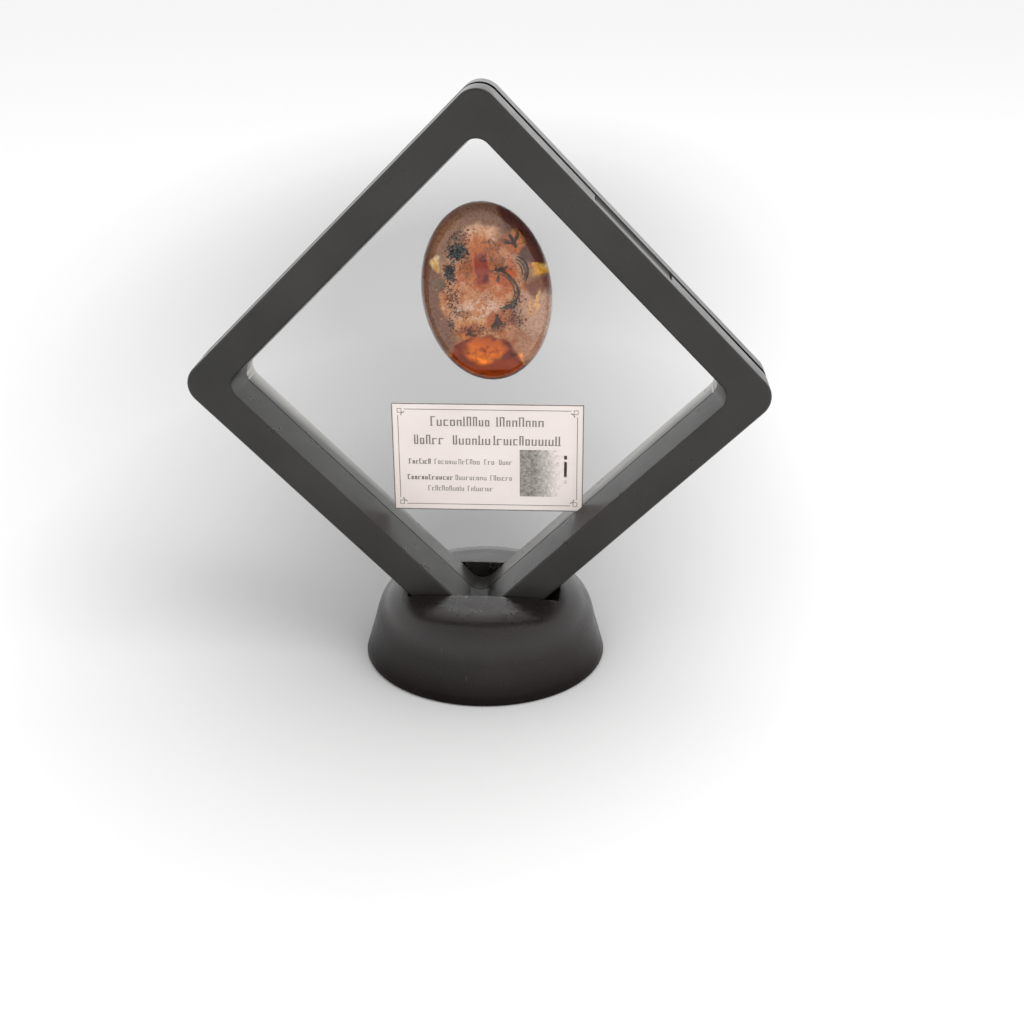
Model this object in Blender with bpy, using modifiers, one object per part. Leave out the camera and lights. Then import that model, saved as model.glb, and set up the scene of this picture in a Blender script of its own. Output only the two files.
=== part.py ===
"""An amber stone with insects in it, held between two clear films in a diamond frame that stands
in a slotted round base. Metres, +Z up, front towards -Y, the base's flat underside at Z = 0."""
import math

import bmesh
import bpy
import numpy as np
from mathutils import Matrix, Vector

GAP = 0.0003  # clearance that touching pieces keep

# Frame: two halves that meet at the parting plane, both square, standing on one corner
FRAME_HALF = 0.0550
FRAME_DEPTH = 0.0200
FRAME_CENTRE_Z = 0.0796
FRAME_CORNER_R = 0.0050
WINDOW_FRONT_HALF = 0.0462
WINDOW_FILM_HALF = 0.0453
WINDOW_CORNER_R = 0.0040
EDGE_ROUND = 0.0008
PARTING_Y = 0.0020
GROOVE_Y = -0.0007
GROOVE_DEPTH = 0.0006
FILM_SEAT_HALF = 0.0495
TAB_LENGTH = 0.0284
TAB_FRONT_Y = -0.0060
TAB_DEPTH = 0.0020
TAB_SINK = 0.0002  # how far its face lies under the wall
TAB_ROOT = 0.0010  # how far it runs into the back half
TAB_LIP = 0.0006

# Films, and the card and the stone between them
FILM_T = 0.0002
CARD_Y = 0.00185
CARD_T = 0.0003
CARD_W = 0.0516
CARD_H = 0.0308
CARD_CENTRE = (0.0021, 0.0569)
CARD_TILT = math.radians(0.7)

# Stone: an oval lens, domed more at the front
STONE_CENTRE = (0.0018, 0.1027)
STONE_LONG = 0.02355
STONE_SHORT = 0.0169
STONE_LEAN = math.radians(7)
STONE_Y = 0.00185
DOME_FRONT = 0.0070
DOME_BACK = 0.0045
DOME_POWER = 2.4

# Stand: a turned base with a slot whose ends slope like the frame's lower sides
STAND_X = 0.0016
STAND_R = 0.03345
STAND_SIDE_R = 0.0303
STAND_SIDE_H = 0.0117
STAND_TOP_R = 0.0190
STAND_TOP_H = 0.0209
STAND_CROWN = 0.0007
SLOT_FLOOR_Z = 0.0036
SLOT_FLOOR_HALF = 0.0038
SLOT_Y_HALF = 0.0107
SLOT_OVERRUN = 0.0040  # how far its cutter stands above the top
FOOT_ROUND = 0.0009
STAND_STEPS = 60
CROWN_ROWS = (0.45, 0.8, 1.0)
SHOULDER_ROWS = 6

FRONT_FILM_BACK_Y = CARD_Y - CARD_T / 2 - GAP
BACK_FILM_FRONT_Y = CARD_Y + CARD_T / 2 + GAP
FRONT_SEAT_Y = FRONT_FILM_BACK_Y - FILM_T - GAP
BACK_SEAT_Y = BACK_FILM_FRONT_Y + FILM_T + GAP
FILM_HALF = FILM_SEAT_HALF - GAP

# Rows of a film's mesh: as shares of the stone's outline, then of the way on to the window's edge
ON_STONE = (0.3, 0.55, 0.75, 0.88, 0.95, 1.0)
PAST_STONE = (0.12, 0.35, 0.65, 1.0)
FILM_CORNER_STEPS = 2
FILM_SIDE_PIECES = 8
GRID_CELLS = 90
GRID_ROUNDS = 2500

# Rows of the stone's mesh, as shares of its outline, and the corners of each row
STONE_ROWS = (1.0, 0.985, 0.94, 0.86, 0.72, 0.52, 0.28)
STONE_TURNS = 42

# Insects: name, place of the middle of the thorax in X and Z, heading of the head from +X, body
# length, and how far the wings open from the body's axis
INSECTS = (
    ("insect_upper", (0.0082, 0.1157), math.radians(-62), 0.0038, math.radians(38)),
    ("insect_middle", (0.0046, 0.0962), math.radians(96), 0.0044, math.radians(15)),
    ("insect_lower", (-0.0024, 0.0925), math.radians(212), 0.0028, math.radians(30)),
)
POCKET_DEPTH = 0.0013
POCKET_REACH = 0.62  # as a share of the insect's length, before the clearance
POCKET_CLEAR = 0.0012

# Forms of an insect as shares of its length, with the head towards +X and the back towards -Y
THORAX_SIZE = (0.2, 0.16, 0.15)
HEAD_AT, HEAD_SIZE = (0.27, -0.02, 0.0), (0.11, 0.11, 0.12)
ABDOMEN_AT, ABDOMEN_SIZE = (-0.34, 0.01, 0.0), (0.27, 0.12, 0.12)
WING_ROOT, WING_LENGTH = (0.08, -0.07, 0.06), 0.78
WING_OUTLINE = ((0.0, 0.0), (0.3, 0.13), (0.65, 0.2), (0.9, 0.15), (1.0, 0.02), (0.85, -0.1), (0.45, -0.1))
WING_T = 0.00012
LEGS = (
    ((0.12, 0.02, 0.05), (0.28, 0.13, 0.3), (0.42, 0.17, 0.46)),
    ((0.0, 0.02, 0.05), (-0.02, 0.13, 0.3), (-0.05, 0.17, 0.46)),
    ((-0.1, 0.02, 0.05), (-0.3, 0.13, 0.3), (-0.44, 0.17, 0.46)),
)
LEG_RADIUS = 0.022
FEELER = ((0.3, -0.03, 0.04), (0.45, -0.06, 0.1), (0.54, -0.07, 0.2))
FEELER_RADIUS = 0.016


def clear_scene():
    """Removes whatever the scene holds."""
    for ob in list(bpy.data.objects):
        bpy.data.objects.remove(ob, do_unlink=True)


def collection(name):
    """A new collection under the scene's own."""
    made = bpy.data.collections.new(name)
    bpy.context.scene.collection.children.link(made)
    return made


def material(name, colour, roughness, transmission=0.0, ior=1.5):
    """A Principled material of one plain finish."""
    made = bpy.data.materials.new(name)
    made.use_nodes = True
    shader = made.node_tree.nodes["Principled BSDF"]
    shader.inputs["Base Color"].default_value = (*colour, 1.0)
    shader.inputs["Roughness"].default_value = roughness
    shader.inputs["Metallic"].default_value = 0.0
    shader.inputs["Transmission Weight"].default_value = transmission
    shader.inputs["IOR"].default_value = ior
    return made


def add_object(name, bm, group, mat=None):
    """Writes a bmesh into a new object of a collection."""
    mesh = bpy.data.meshes.new(name)
    bm.to_mesh(mesh)
    bm.free()
    ob = bpy.data.objects.new(name, mesh)
    group.objects.link(ob)
    if mat is not None:
        mesh.materials.append(mat)
    mesh.shade_smooth()
    mesh.set_sharp_from_angle(angle=math.radians(35))
    return ob


def face_out(bm):
    """Turns every face of a closed bmesh outwards."""
    bm.normal_update()
    bmesh.ops.recalc_face_normals(bm, faces=bm.faces[:])


def hide_cutter(ob):
    """Keeps a cutter out of the build."""
    ob.hide_render = True
    ob.display_type = "WIRE"
    return ob


def boolean(ob, other, operation):
    """Adds an exact Boolean with another object or with all objects of a collection."""
    mod = ob.modifiers.new(operation.lower(), "BOOLEAN")
    mod.operation = operation
    mod.solver = "EXACT"
    if isinstance(other, bpy.types.Collection):
        mod.operand_type = "COLLECTION"
        mod.collection = other
    else:
        mod.object = other
    return mod


def rounded_square(half, radius, corner_steps):
    """Points of a square with round corners, in the frame's own side directions."""
    points = []
    for quarter in range(4):
        turn = quarter * math.pi / 2
        middle = Vector((half - radius, half - radius)) @ Matrix.Rotation(-turn, 2)
        for step in range(corner_steps + 1):
            angle = turn + step / corner_steps * math.pi / 2
            points.append((middle.x + radius * math.cos(angle), middle.y + radius * math.sin(angle)))
    return points


def on_corner(u, v, y):
    """A point given along the frame's sides, in the world: the frame stands on one corner."""
    return Vector(((u - v) / math.sqrt(2), y, (u + v) / math.sqrt(2) + FRAME_CENTRE_Z))


def skin(bm, first, second):
    """Joins two closed rows of vertices with quads."""
    count = len(first)
    for i in range(count):
        after = (i + 1) % count
        bm.faces.new((first[i], first[after], second[after], second[i]))


def ring_half(name, sections, group, mat):
    """A square ring with round corners, from (half size, corner radius, Y) all round its section."""
    bm = bmesh.new()
    rows = []
    for half, radius, y in sections:
        outline = rounded_square(half, radius, corner_steps=6)
        rows.append([bm.verts.new(on_corner(u, v, y)) for u, v in outline])
    for i, row in enumerate(rows):
        skin(bm, row, rows[(i + 1) % len(rows)])
    face_out(bm)
    return add_object(name, bm, group, mat)


def outer_corner(half):
    """Corner radius of an outer wall that is set in from the full size."""
    return FRAME_CORNER_R - (FRAME_HALF - half)


def side_box(name, u_range, v_half, y_range, group):
    """A box on the upper right side, in the frame's own directions."""
    bm = bmesh.new()
    bmesh.ops.create_cube(bm, size=1.0)
    size = Vector((u_range[1] - u_range[0], 2 * v_half, y_range[1] - y_range[0]))
    middle = Vector((sum(u_range) / 2, 0.0, sum(y_range) / 2))
    for vert in bm.verts:
        u, v, y = vert.co
        vert.co = on_corner(middle.x + u * size.x, v * size.y, middle.z + y * size.z)
    face_out(bm)
    return add_object(name, bm, group)


def front_half(group, cutters, mat):
    """The front half: drafted window, seat for the film, groove round the outside, tab notch."""
    outer, inner = FRAME_HALF, WINDOW_FRONT_HALF
    front_y = -FRAME_DEPTH / 2
    groove_half = outer - GROOVE_DEPTH
    tongue_y = PARTING_Y - GAP
    sections = (
        (WINDOW_FILM_HALF, WINDOW_CORNER_R, FRONT_SEAT_Y),
        (inner, WINDOW_CORNER_R, front_y + EDGE_ROUND),
        (inner + 0.3 * EDGE_ROUND, WINDOW_CORNER_R, front_y + 0.3 * EDGE_ROUND),
        (inner + EDGE_ROUND, WINDOW_CORNER_R, front_y),
        (outer - EDGE_ROUND, outer_corner(outer - EDGE_ROUND), front_y),
        (outer - 0.3 * EDGE_ROUND, outer_corner(outer - 0.3 * EDGE_ROUND), front_y + 0.3 * EDGE_ROUND),
        (outer, FRAME_CORNER_R, front_y + EDGE_ROUND),
        (outer, FRAME_CORNER_R, GROOVE_Y),
        (groove_half, outer_corner(groove_half), GROOVE_Y),
        (groove_half, outer_corner(groove_half), tongue_y),
        (FILM_SEAT_HALF, WINDOW_CORNER_R, tongue_y),
        (FILM_SEAT_HALF, WINDOW_CORNER_R, FRONT_SEAT_Y),
    )
    ob = ring_half("frame_front", sections, group, mat)
    notch_u = (outer - TAB_DEPTH, outer + TAB_DEPTH)
    notch = side_box("tab_notch", notch_u, TAB_LENGTH / 2, (TAB_FRONT_Y, PARTING_Y + TAB_DEPTH), cutters)
    boolean(ob, hide_cutter(notch), "DIFFERENCE")
    return ob


def back_half(group, cutters, mat):
    """The back half: its window, seat for the film, and the finger tab on the upper right side."""
    outer, inner = FRAME_HALF, WINDOW_FILM_HALF
    back_y = FRAME_DEPTH / 2
    sections = (
        (inner, WINDOW_CORNER_R, BACK_SEAT_Y),
        (FILM_SEAT_HALF, WINDOW_CORNER_R, BACK_SEAT_Y),
        (FILM_SEAT_HALF, WINDOW_CORNER_R, PARTING_Y),
        (outer, FRAME_CORNER_R, PARTING_Y),
        (outer, FRAME_CORNER_R, back_y - EDGE_ROUND),
        (outer - 0.3 * EDGE_ROUND, outer_corner(outer - 0.3 * EDGE_ROUND), back_y - 0.3 * EDGE_ROUND),
        (outer - EDGE_ROUND, outer_corner(outer - EDGE_ROUND), back_y),
        (inner + EDGE_ROUND, WINDOW_CORNER_R, back_y),
        (inner + 0.3 * EDGE_ROUND, WINDOW_CORNER_R, back_y - 0.3 * EDGE_ROUND),
        (inner, WINDOW_CORNER_R, back_y - EDGE_ROUND),
    )
    ob = ring_half("frame_back", sections, group, mat)
    tab_u = (outer - TAB_DEPTH + GAP, outer - TAB_SINK)
    tab_y = (TAB_FRONT_Y + GAP, PARTING_Y + TAB_ROOT)
    tab = side_box("finger_tab", tab_u, TAB_LENGTH / 2 - GAP, tab_y, cutters)
    lip = tab.modifiers.new("lip", "BEVEL")
    lip.width = TAB_LIP
    lip.segments = 3
    boolean(ob, hide_cutter(tab), "UNION")
    return ob


def stand(group, cutters, mat):
    """The turned base, with its slot cut in."""
    profile = [(0.0, STAND_TOP_H + STAND_CROWN)]
    profile += [(STAND_TOP_R * t, STAND_TOP_H + STAND_CROWN * (1 - t * t)) for t in CROWN_ROWS]
    for step in range(1, SHOULDER_ROWS + 1):
        angle = math.pi / 2 * (1 - step / SHOULDER_ROWS)
        reach = STAND_TOP_R + (STAND_SIDE_R - STAND_TOP_R) * math.cos(angle)
        profile.append((reach, STAND_SIDE_H + (STAND_TOP_H - STAND_SIDE_H) * math.sin(angle)))
    profile += [
        (STAND_R, FOOT_ROUND), (STAND_R - 0.3 * FOOT_ROUND, 0.3 * FOOT_ROUND), (STAND_R - FOOT_ROUND, 0.0),
        (0.0, 0.0),
    ]
    bm = bmesh.new()
    row = [bm.verts.new((r, 0.0, z)) for r, z in profile]
    for above, below in zip(row, row[1:]):
        bm.edges.new((above, below))
    ob = add_object("stand", bm, group, mat)
    ob.location.x = STAND_X
    turn = ob.modifiers.new("turn", "SCREW")
    turn.angle = math.tau
    turn.steps = turn.render_steps = STAND_STEPS
    turn.use_merge_vertices = True
    turn.merge_threshold = 0.00001
    turn.use_smooth_shade = True
    weld = ob.modifiers.new("weld", "WELD")
    weld.merge_threshold = 0.00001
    boolean(ob, slot_cutter(cutters), "DIFFERENCE")
    return ob


def slot_cutter(cutters):
    """A trough that is wider at the top, with its ends at 45 degrees."""
    top_z = STAND_TOP_H + SLOT_OVERRUN
    top_half = SLOT_FLOOR_HALF + top_z - SLOT_FLOOR_Z
    corners = (
        (-SLOT_FLOOR_HALF, SLOT_FLOOR_Z), (SLOT_FLOOR_HALF, SLOT_FLOOR_Z),
        (top_half, top_z), (-top_half, top_z),
    )
    bm = bmesh.new()
    row = [bm.verts.new((STAND_X + x, -SLOT_Y_HALF, z)) for x, z in corners]
    face = bm.faces.new(row)
    deep = bmesh.ops.extrude_face_region(bm, geom=[face])
    moved = [v for v in deep["geom"] if isinstance(v, bmesh.types.BMVert)]
    bmesh.ops.translate(bm, verts=moved, vec=(0.0, 2 * SLOT_Y_HALF, 0.0))
    face_out(bm)
    return hide_cutter(add_object("slot_cutter", bm, cutters))


def stone_share(x, z):
    """How far out a point is on the stone: 0 in its middle, 1 on its outline."""
    dx, dz = x - STONE_CENTRE[0], z - STONE_CENTRE[1]
    across = dx * math.cos(STONE_LEAN) + dz * math.sin(STONE_LEAN)
    along = dz * math.cos(STONE_LEAN) - dx * math.sin(STONE_LEAN)
    return np.sqrt((across / STONE_SHORT) ** 2 + (along / STONE_LONG) ** 2)


def dome(share):
    """Height of the stone's dome, as a share of its full height."""
    return np.sqrt(np.clip(1 - np.asarray(share, dtype=float) ** DOME_POWER, 0, 1))


def stone_half(name, side, height, group, cutters, mat):
    """One side of the stone, flat at the parting, with a hollow round each insect."""
    bm = bmesh.new()
    flat_y = STONE_Y + side * GAP / 2
    rows = []
    for share in STONE_ROWS:
        row = []
        for i in range(STONE_TURNS):
            angle = math.tau * i / STONE_TURNS
            across = share * STONE_SHORT * math.cos(angle)
            along = share * STONE_LONG * math.sin(angle)
            x = STONE_CENTRE[0] + across * math.cos(STONE_LEAN) - along * math.sin(STONE_LEAN)
            z = STONE_CENTRE[1] + along * math.cos(STONE_LEAN) + across * math.sin(STONE_LEAN)
            row.append(bm.verts.new((x, flat_y + side * float(height * dome(share)), z)))
        if rows:
            skin(bm, rows[-1], row)
        rows.append(row)
    crown = bm.verts.new((STONE_CENTRE[0], flat_y + side * height, STONE_CENTRE[1]))
    for i, vert in enumerate(rows[-1]):
        bm.faces.new((vert, rows[-1][(i + 1) % STONE_TURNS], crown))
    bm.faces.new(rows[0])
    face_out(bm)
    ob = add_object(name, bm, group, mat)
    for insect, place, _, length, _ in INSECTS:
        boolean(ob, pocket(f"{name}_{insect}_pocket", place, length, cutters), "DIFFERENCE")
    return ob


def pocket(name, place, length, cutters):
    """A flat round hollow that clears one insect."""
    bm = bmesh.new()
    bmesh.ops.create_uvsphere(bm, u_segments=16, v_segments=8, radius=1.0)
    reach = POCKET_REACH * length + POCKET_CLEAR
    bmesh.ops.scale(bm, vec=(reach, POCKET_DEPTH, reach), verts=bm.verts[:])
    bmesh.ops.translate(bm, verts=bm.verts[:], vec=(place[0], STONE_Y, place[1]))
    return hide_cutter(add_object(name, bm, cutters))


def stretched(obstacle_height):
    """Heights of a film stretched flat in the window and pushed out by a stone, on a square grid."""
    line = np.linspace(-WINDOW_FILM_HALF, WINDOW_FILM_HALF, GRID_CELLS + 1)
    u, v = np.meshgrid(line, line, indexing="ij")
    x = (u - v) / math.sqrt(2)
    z = (u + v) / math.sqrt(2) + FRAME_CENTRE_Z
    share = stone_share(x, z)
    floor = np.where(share < 1, obstacle_height * dome(share) - CARD_T / 2, 0.0).clip(0)
    high = floor.copy()
    for _ in range(GRID_ROUNDS):
        mean = (high[:-2, 1:-1] + high[2:, 1:-1] + high[1:-1, :-2] + high[1:-1, 2:]) / 4
        high[1:-1, 1:-1] = np.maximum(mean, floor[1:-1, 1:-1])
    return high


def height_at(high, u, v):
    """Height read from the grid at a point given along the frame's sides."""
    cells = high.shape[0] - 1
    a = min(max((u / WINDOW_FILM_HALF + 1) / 2 * cells, 0), cells - 1e-6)
    b = min(max((v / WINDOW_FILM_HALF + 1) / 2 * cells, 0), cells - 1e-6)
    if max(abs(u), abs(v)) >= WINDOW_FILM_HALF:
        return 0.0
    i, j = int(a), int(b)
    s, t = a - i, b - j
    near = high[i, j] * (1 - t) + high[i, j + 1] * t
    far = high[i + 1, j] * (1 - t) + high[i + 1, j + 1] * t
    return float(near * (1 - s) + far * s)


def ray_shares(mid, u, v):
    """How far along the ray from the stone's middle to a rim point each row of the film lies."""
    x, _, z = on_corner(u, v, 0.0)
    stone_edge = 1 / float(stone_share(x, z))
    reaches = [
        (math.copysign(WINDOW_FILM_HALF, end - start) - start) / (end - start)
        for start, end in zip(mid, (u, v)) if abs(end) > WINDOW_FILM_HALF
    ]
    window_edge = min(reaches)
    on_stone = [stone_edge * share for share in ON_STONE]
    past_stone = [stone_edge + (window_edge - stone_edge) * share for share in PAST_STONE]
    return on_stone + past_stone + [1.0]


def film(name, side, flat_y, dome_height, group, mat):
    """A thin clear film, flat in its seat and tented over the stone."""
    high = stretched(dome_height)
    rim = rounded_square(FILM_HALF, WINDOW_CORNER_R - GAP, FILM_CORNER_STEPS)
    outline = []
    for i, (u, v) in enumerate(rim):
        after_u, after_v = rim[(i + 1) % len(rim)]
        at_corner_end = i % (FILM_CORNER_STEPS + 1) == FILM_CORNER_STEPS
        pieces = FILM_SIDE_PIECES if at_corner_end else 1
        for k in range(pieces):
            outline.append((u + (after_u - u) * k / pieces, v + (after_v - v) * k / pieces))
    mid_x, mid_z = STONE_CENTRE[0], STONE_CENTRE[1] - FRAME_CENTRE_Z
    mid = ((mid_x + mid_z) / math.sqrt(2), (mid_z - mid_x) / math.sqrt(2))
    shares = [ray_shares(mid, u, v) for u, v in outline]
    bm = bmesh.new()
    rims = []
    for layer in (0.0, FILM_T):
        rows = []
        for step in range(len(shares[0])):
            row = []
            for (u, v), share in zip(outline, [ray[step] for ray in shares]):
                at_u, at_v = mid[0] + (u - mid[0]) * share, mid[1] + (v - mid[1]) * share
                y = flat_y + side * (height_at(high, at_u, at_v) + layer)
                row.append(bm.verts.new(on_corner(at_u, at_v, y)))
            if rows:
                skin(bm, rows[-1], row)
            rows.append(row)
        peak = bm.verts.new(on_corner(*mid, flat_y + side * (height_at(high, *mid) + layer)))
        for i, vert in enumerate(rows[0]):
            bm.faces.new((vert, rows[0][(i + 1) % len(outline)], peak))
        rims.append(rows[-1])
    skin(bm, rims[0], rims[1])
    face_out(bm)
    return add_object(name, bm, group, mat)


def card(group, mat):
    """The small paper card, a shade off level."""
    bm = bmesh.new()
    bmesh.ops.create_cube(bm, size=1.0)
    bmesh.ops.scale(bm, vec=(CARD_W, CARD_T, CARD_H), verts=bm.verts[:])
    bmesh.ops.rotate(bm, verts=bm.verts[:], matrix=Matrix.Rotation(-CARD_TILT, 3, "Y"))
    bmesh.ops.translate(bm, verts=bm.verts[:], vec=(CARD_CENTRE[0], CARD_Y, CARD_CENTRE[1]))
    return add_object("label_card", bm, group, mat)


def lump(bm, centre, size, turn=0.0):
    """An oval lump of the body, longest along X before its turn about Y."""
    made = bmesh.ops.create_uvsphere(bm, u_segments=8, v_segments=5, radius=1.0)["verts"]
    bmesh.ops.rotate(bm, verts=made, matrix=Matrix.Rotation(math.pi / 2, 3, "Y"))
    bmesh.ops.scale(bm, vec=size, verts=made)
    bmesh.ops.rotate(bm, verts=made, matrix=Matrix.Rotation(turn, 3, "Y"))
    bmesh.ops.translate(bm, verts=made, vec=centre)


def wing(bm, length, root, opening, side):
    """One wing: a thin leaf shape that points back from its root."""
    row = [bm.verts.new((-a * length, -WING_T / 2, side * b * length)) for a, b in WING_OUTLINE]
    face = bm.faces.new(row)
    deep = bmesh.ops.extrude_face_region(bm, geom=[face])["geom"]
    moved = [v for v in deep if isinstance(v, bmesh.types.BMVert)]
    bmesh.ops.translate(bm, verts=moved, vec=(0.0, WING_T, 0.0))
    whole = row + moved
    bmesh.ops.rotate(bm, verts=whole, matrix=Matrix.Rotation(side * opening, 3, "Y"))
    bmesh.ops.translate(bm, verts=whole, vec=root)


def limb(bm, points, radius):
    """A thin leg or feeler through a few points, four-sided."""
    rows = []
    for i, point in enumerate(points):
        ahead = Vector(points[min(i + 1, len(points) - 1)]) - Vector(points[max(i - 1, 0)])
        across = ahead.cross(Vector((0, 1, 0))).normalized()
        depth = ahead.cross(across).normalized()
        spots = (across, depth, -across, -depth)
        thin = radius * (1 - 0.4 * i / (len(points) - 1))
        rows.append([bm.verts.new(Vector(point) + spot * thin) for spot in spots])
        if i:
            skin(bm, rows[-2], rows[-1])
    bm.faces.new(rows[0])
    bm.faces.new(rows[-1])


def solid_part(name, group, build):
    """Runs one builder into its own closed object, for the union."""
    bm = bmesh.new()
    build(bm)
    face_out(bm)
    return add_object(name, bm, group)


def insect(name, place, heading, length, opening, group, cutters, mat):
    """One insect: body, head, two wings, six legs and two feelers, joined in one solid."""
    limbs = bpy.data.collections.new(name + "_limbs")
    cutters.children.link(limbs)
    turn = Matrix.Rotation(-heading, 4, "Y")
    where = Matrix.Translation((place[0], STONE_Y, place[1])) @ turn

    def sized(shares, side=1):
        return Vector((shares[0] * length, shares[1] * length, side * shares[2] * length))

    def add_limb(part, make):
        parts.append(solid_part(f"{name}_{part}", limbs, make))

    thorax = solid_part(name, group, lambda bm: lump(bm, (0, 0, 0), sized(THORAX_SIZE)))
    thorax.data.materials.append(mat)
    parts = []
    add_limb("head", lambda bm: lump(bm, sized(HEAD_AT), sized(HEAD_SIZE)))
    add_limb("abdomen", lambda bm: lump(bm, sized(ABDOMEN_AT), sized(ABDOMEN_SIZE)))
    for side in (-1, 1):
        root = sized(WING_ROOT, side)
        add_limb(f"wing_{side}", lambda bm: wing(bm, WING_LENGTH * length, root, opening, side))
        for pair, points in enumerate(LEGS):
            leg = [sized(point, side) for point in points]
            add_limb(f"leg_{side}_{pair}", lambda bm: limb(bm, leg, LEG_RADIUS * length))
        feeler = [sized(point, side) for point in FEELER]
        add_limb(f"feeler_{side}", lambda bm: limb(bm, feeler, FEELER_RADIUS * length))
    for ob in [thorax] + parts:
        ob.data.transform(where)
        if ob is not thorax:
            hide_cutter(ob)
    boolean(thorax, limbs, "UNION")
    return thorax


def build():
    """Makes every piece."""
    clear_scene()
    group = collection("amber_insect_display")
    cutters = collection("cutters")
    satin_black = material("satin_black_plastic", (0.02, 0.019, 0.018), 0.42)
    clear_film = material("clear_film", (0.96, 0.97, 0.98), 0.06, transmission=1.0, ior=1.45)
    paper = material("card_paper", (0.8, 0.74, 0.72), 0.7)
    amber = material("amber", (0.78, 0.26, 0.04), 0.05, transmission=1.0, ior=1.54)
    chitin = material("insect_brown", (0.06, 0.035, 0.02), 0.5)
    stand(group, cutters, satin_black)
    front_half(group, cutters, satin_black)
    back_half(group, cutters, satin_black)
    film("film_front", -1, FRONT_FILM_BACK_Y, DOME_FRONT, group, clear_film)
    film("film_back", 1, BACK_FILM_FRONT_Y, DOME_BACK, group, clear_film)
    card(group, paper)
    stone_half("amber_front", -1, DOME_FRONT, group, cutters, amber)
    stone_half("amber_back", 1, DOME_BACK, group, cutters, amber)
    for name, place, heading, length, opening in INSECTS:
        insect(name, place, heading, length, opening, group, cutters, chitin)


build()
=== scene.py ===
"""Looks of the amber display: a polished stone with insects in it, between two clear films, in a
black diamond frame on a round slotted stand. Metres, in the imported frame's own coordinates."""
import math
import random

import bmesh
import bpy
import numpy as np
from mathutils import Matrix, Vector, noise


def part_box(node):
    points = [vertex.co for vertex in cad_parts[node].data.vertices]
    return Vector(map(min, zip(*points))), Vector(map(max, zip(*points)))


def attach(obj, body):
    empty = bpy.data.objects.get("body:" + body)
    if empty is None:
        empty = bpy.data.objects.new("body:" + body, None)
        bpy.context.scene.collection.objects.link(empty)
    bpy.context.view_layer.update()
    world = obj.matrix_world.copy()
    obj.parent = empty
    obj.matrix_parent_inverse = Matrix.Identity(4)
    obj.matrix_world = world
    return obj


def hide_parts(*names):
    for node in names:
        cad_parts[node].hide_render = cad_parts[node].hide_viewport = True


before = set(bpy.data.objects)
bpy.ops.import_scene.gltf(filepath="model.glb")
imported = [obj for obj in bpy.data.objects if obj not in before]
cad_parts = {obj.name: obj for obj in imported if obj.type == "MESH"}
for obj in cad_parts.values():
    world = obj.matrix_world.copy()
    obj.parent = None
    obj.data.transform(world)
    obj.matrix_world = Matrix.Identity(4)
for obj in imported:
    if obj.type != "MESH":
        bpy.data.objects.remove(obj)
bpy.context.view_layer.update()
MM = 0.001

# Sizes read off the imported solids
FRAME_LOW, FRAME_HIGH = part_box("frame_back")
STAND_LOW, STAND_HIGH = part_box("stand")
FRONT_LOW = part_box("frame_front")[0]
CARD_LOW, CARD_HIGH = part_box("label_card")
STONE_LOW, STONE_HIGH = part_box("amber_front")
BACK_STONE_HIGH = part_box("amber_back")[1]

CORNER_R = 5.8 * MM
CORNER_STEPS = 32
TIP_HALF = (FRAME_HIGH.x - FRAME_LOW.x) / 2
CAD_CORNER_R = 5.0 * MM
FRAME_HALF = (TIP_HALF + CAD_CORNER_R * (math.sqrt(2) - 1)) / math.sqrt(2)
CENTRE_Z = (FRAME_LOW.z + FRAME_HIGH.z) / 2
FRONT_Y = FRONT_LOW.y
BACK_Y = FRAME_HIGH.y
STAND_X = (STAND_LOW.x + STAND_HIGH.x) / 2
STAND_R = (STAND_HIGH.x - STAND_LOW.x) / 2

# Window, parting and groove of the frame
WINDOW_FRONT_HALF = 46.2 * MM
WINDOW_FILM_HALF = 45.3 * MM
WINDOW_CORNER_R = 4.0 * MM
PARTING_Y = 3.0 * MM
GROOVE_Y = -0.2 * MM
GROOVE_DEPTH = 1.6 * MM
# How far up from the window's bottom corner the painted reflection takes to come in; the corner lies in
# shade.
PAINTED_REFLECTION_FADE = 45.0 * MM
SEAT_HALF = 49.5 * MM
SEAT_CLEAR = 0.22 * MM
TAB_LENGTH = 28.4 * MM
TAB_FRONT_Y = -6.0 * MM
TAB_DEPTH = 2.0 * MM
TAB_ROOT = 1.5 * MM
TAB_SINK = 0.2 * MM
TAB_CLEAR = 0.3 * MM
TAB_SOFT = 0.7 * MM
EDGE_ROUND = 0.9 * MM
WINDOW_ROUND = 0.54 * MM
LIP = 0.15 * MM
PARTING_GAP = 0.3 * MM

# The card and the stone between the films
CARD_Y = (CARD_LOW.y + CARD_HIGH.y) / 2
CARD_T = CARD_HIGH.y - CARD_LOW.y
CARD_W = 51.6 * MM
CARD_H = 30.8 * MM
CARD_TILT = math.radians(0.7)
# The picture place on the card: left, top, width and height in mm from its top left corner
PICTURE = (34.4, 12.9, 14.2, 13.6)
CARD_MIDDLE = Vector(((CARD_LOW.x + CARD_HIGH.x) / 2, CARD_Y, (CARD_LOW.z + CARD_HIGH.z) / 2))
STONE_MIDDLE = Vector(((STONE_LOW.x + STONE_HIGH.x) / 2, CARD_Y, (STONE_LOW.z + STONE_HIGH.z) / 2))
STONE_LEAN = math.radians(7)
STONE_LONG = 23.55 * MM
STONE_SHORT = 16.9 * MM
DOME_FRONT = STONE_MIDDLE.y - STONE_LOW.y - 0.15 * MM
DOME_BACK = BACK_STONE_HIGH.y - STONE_MIDDLE.y - 0.15 * MM
DOME_POWER = 2.4
STONE_WAVER = 0.012


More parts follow.
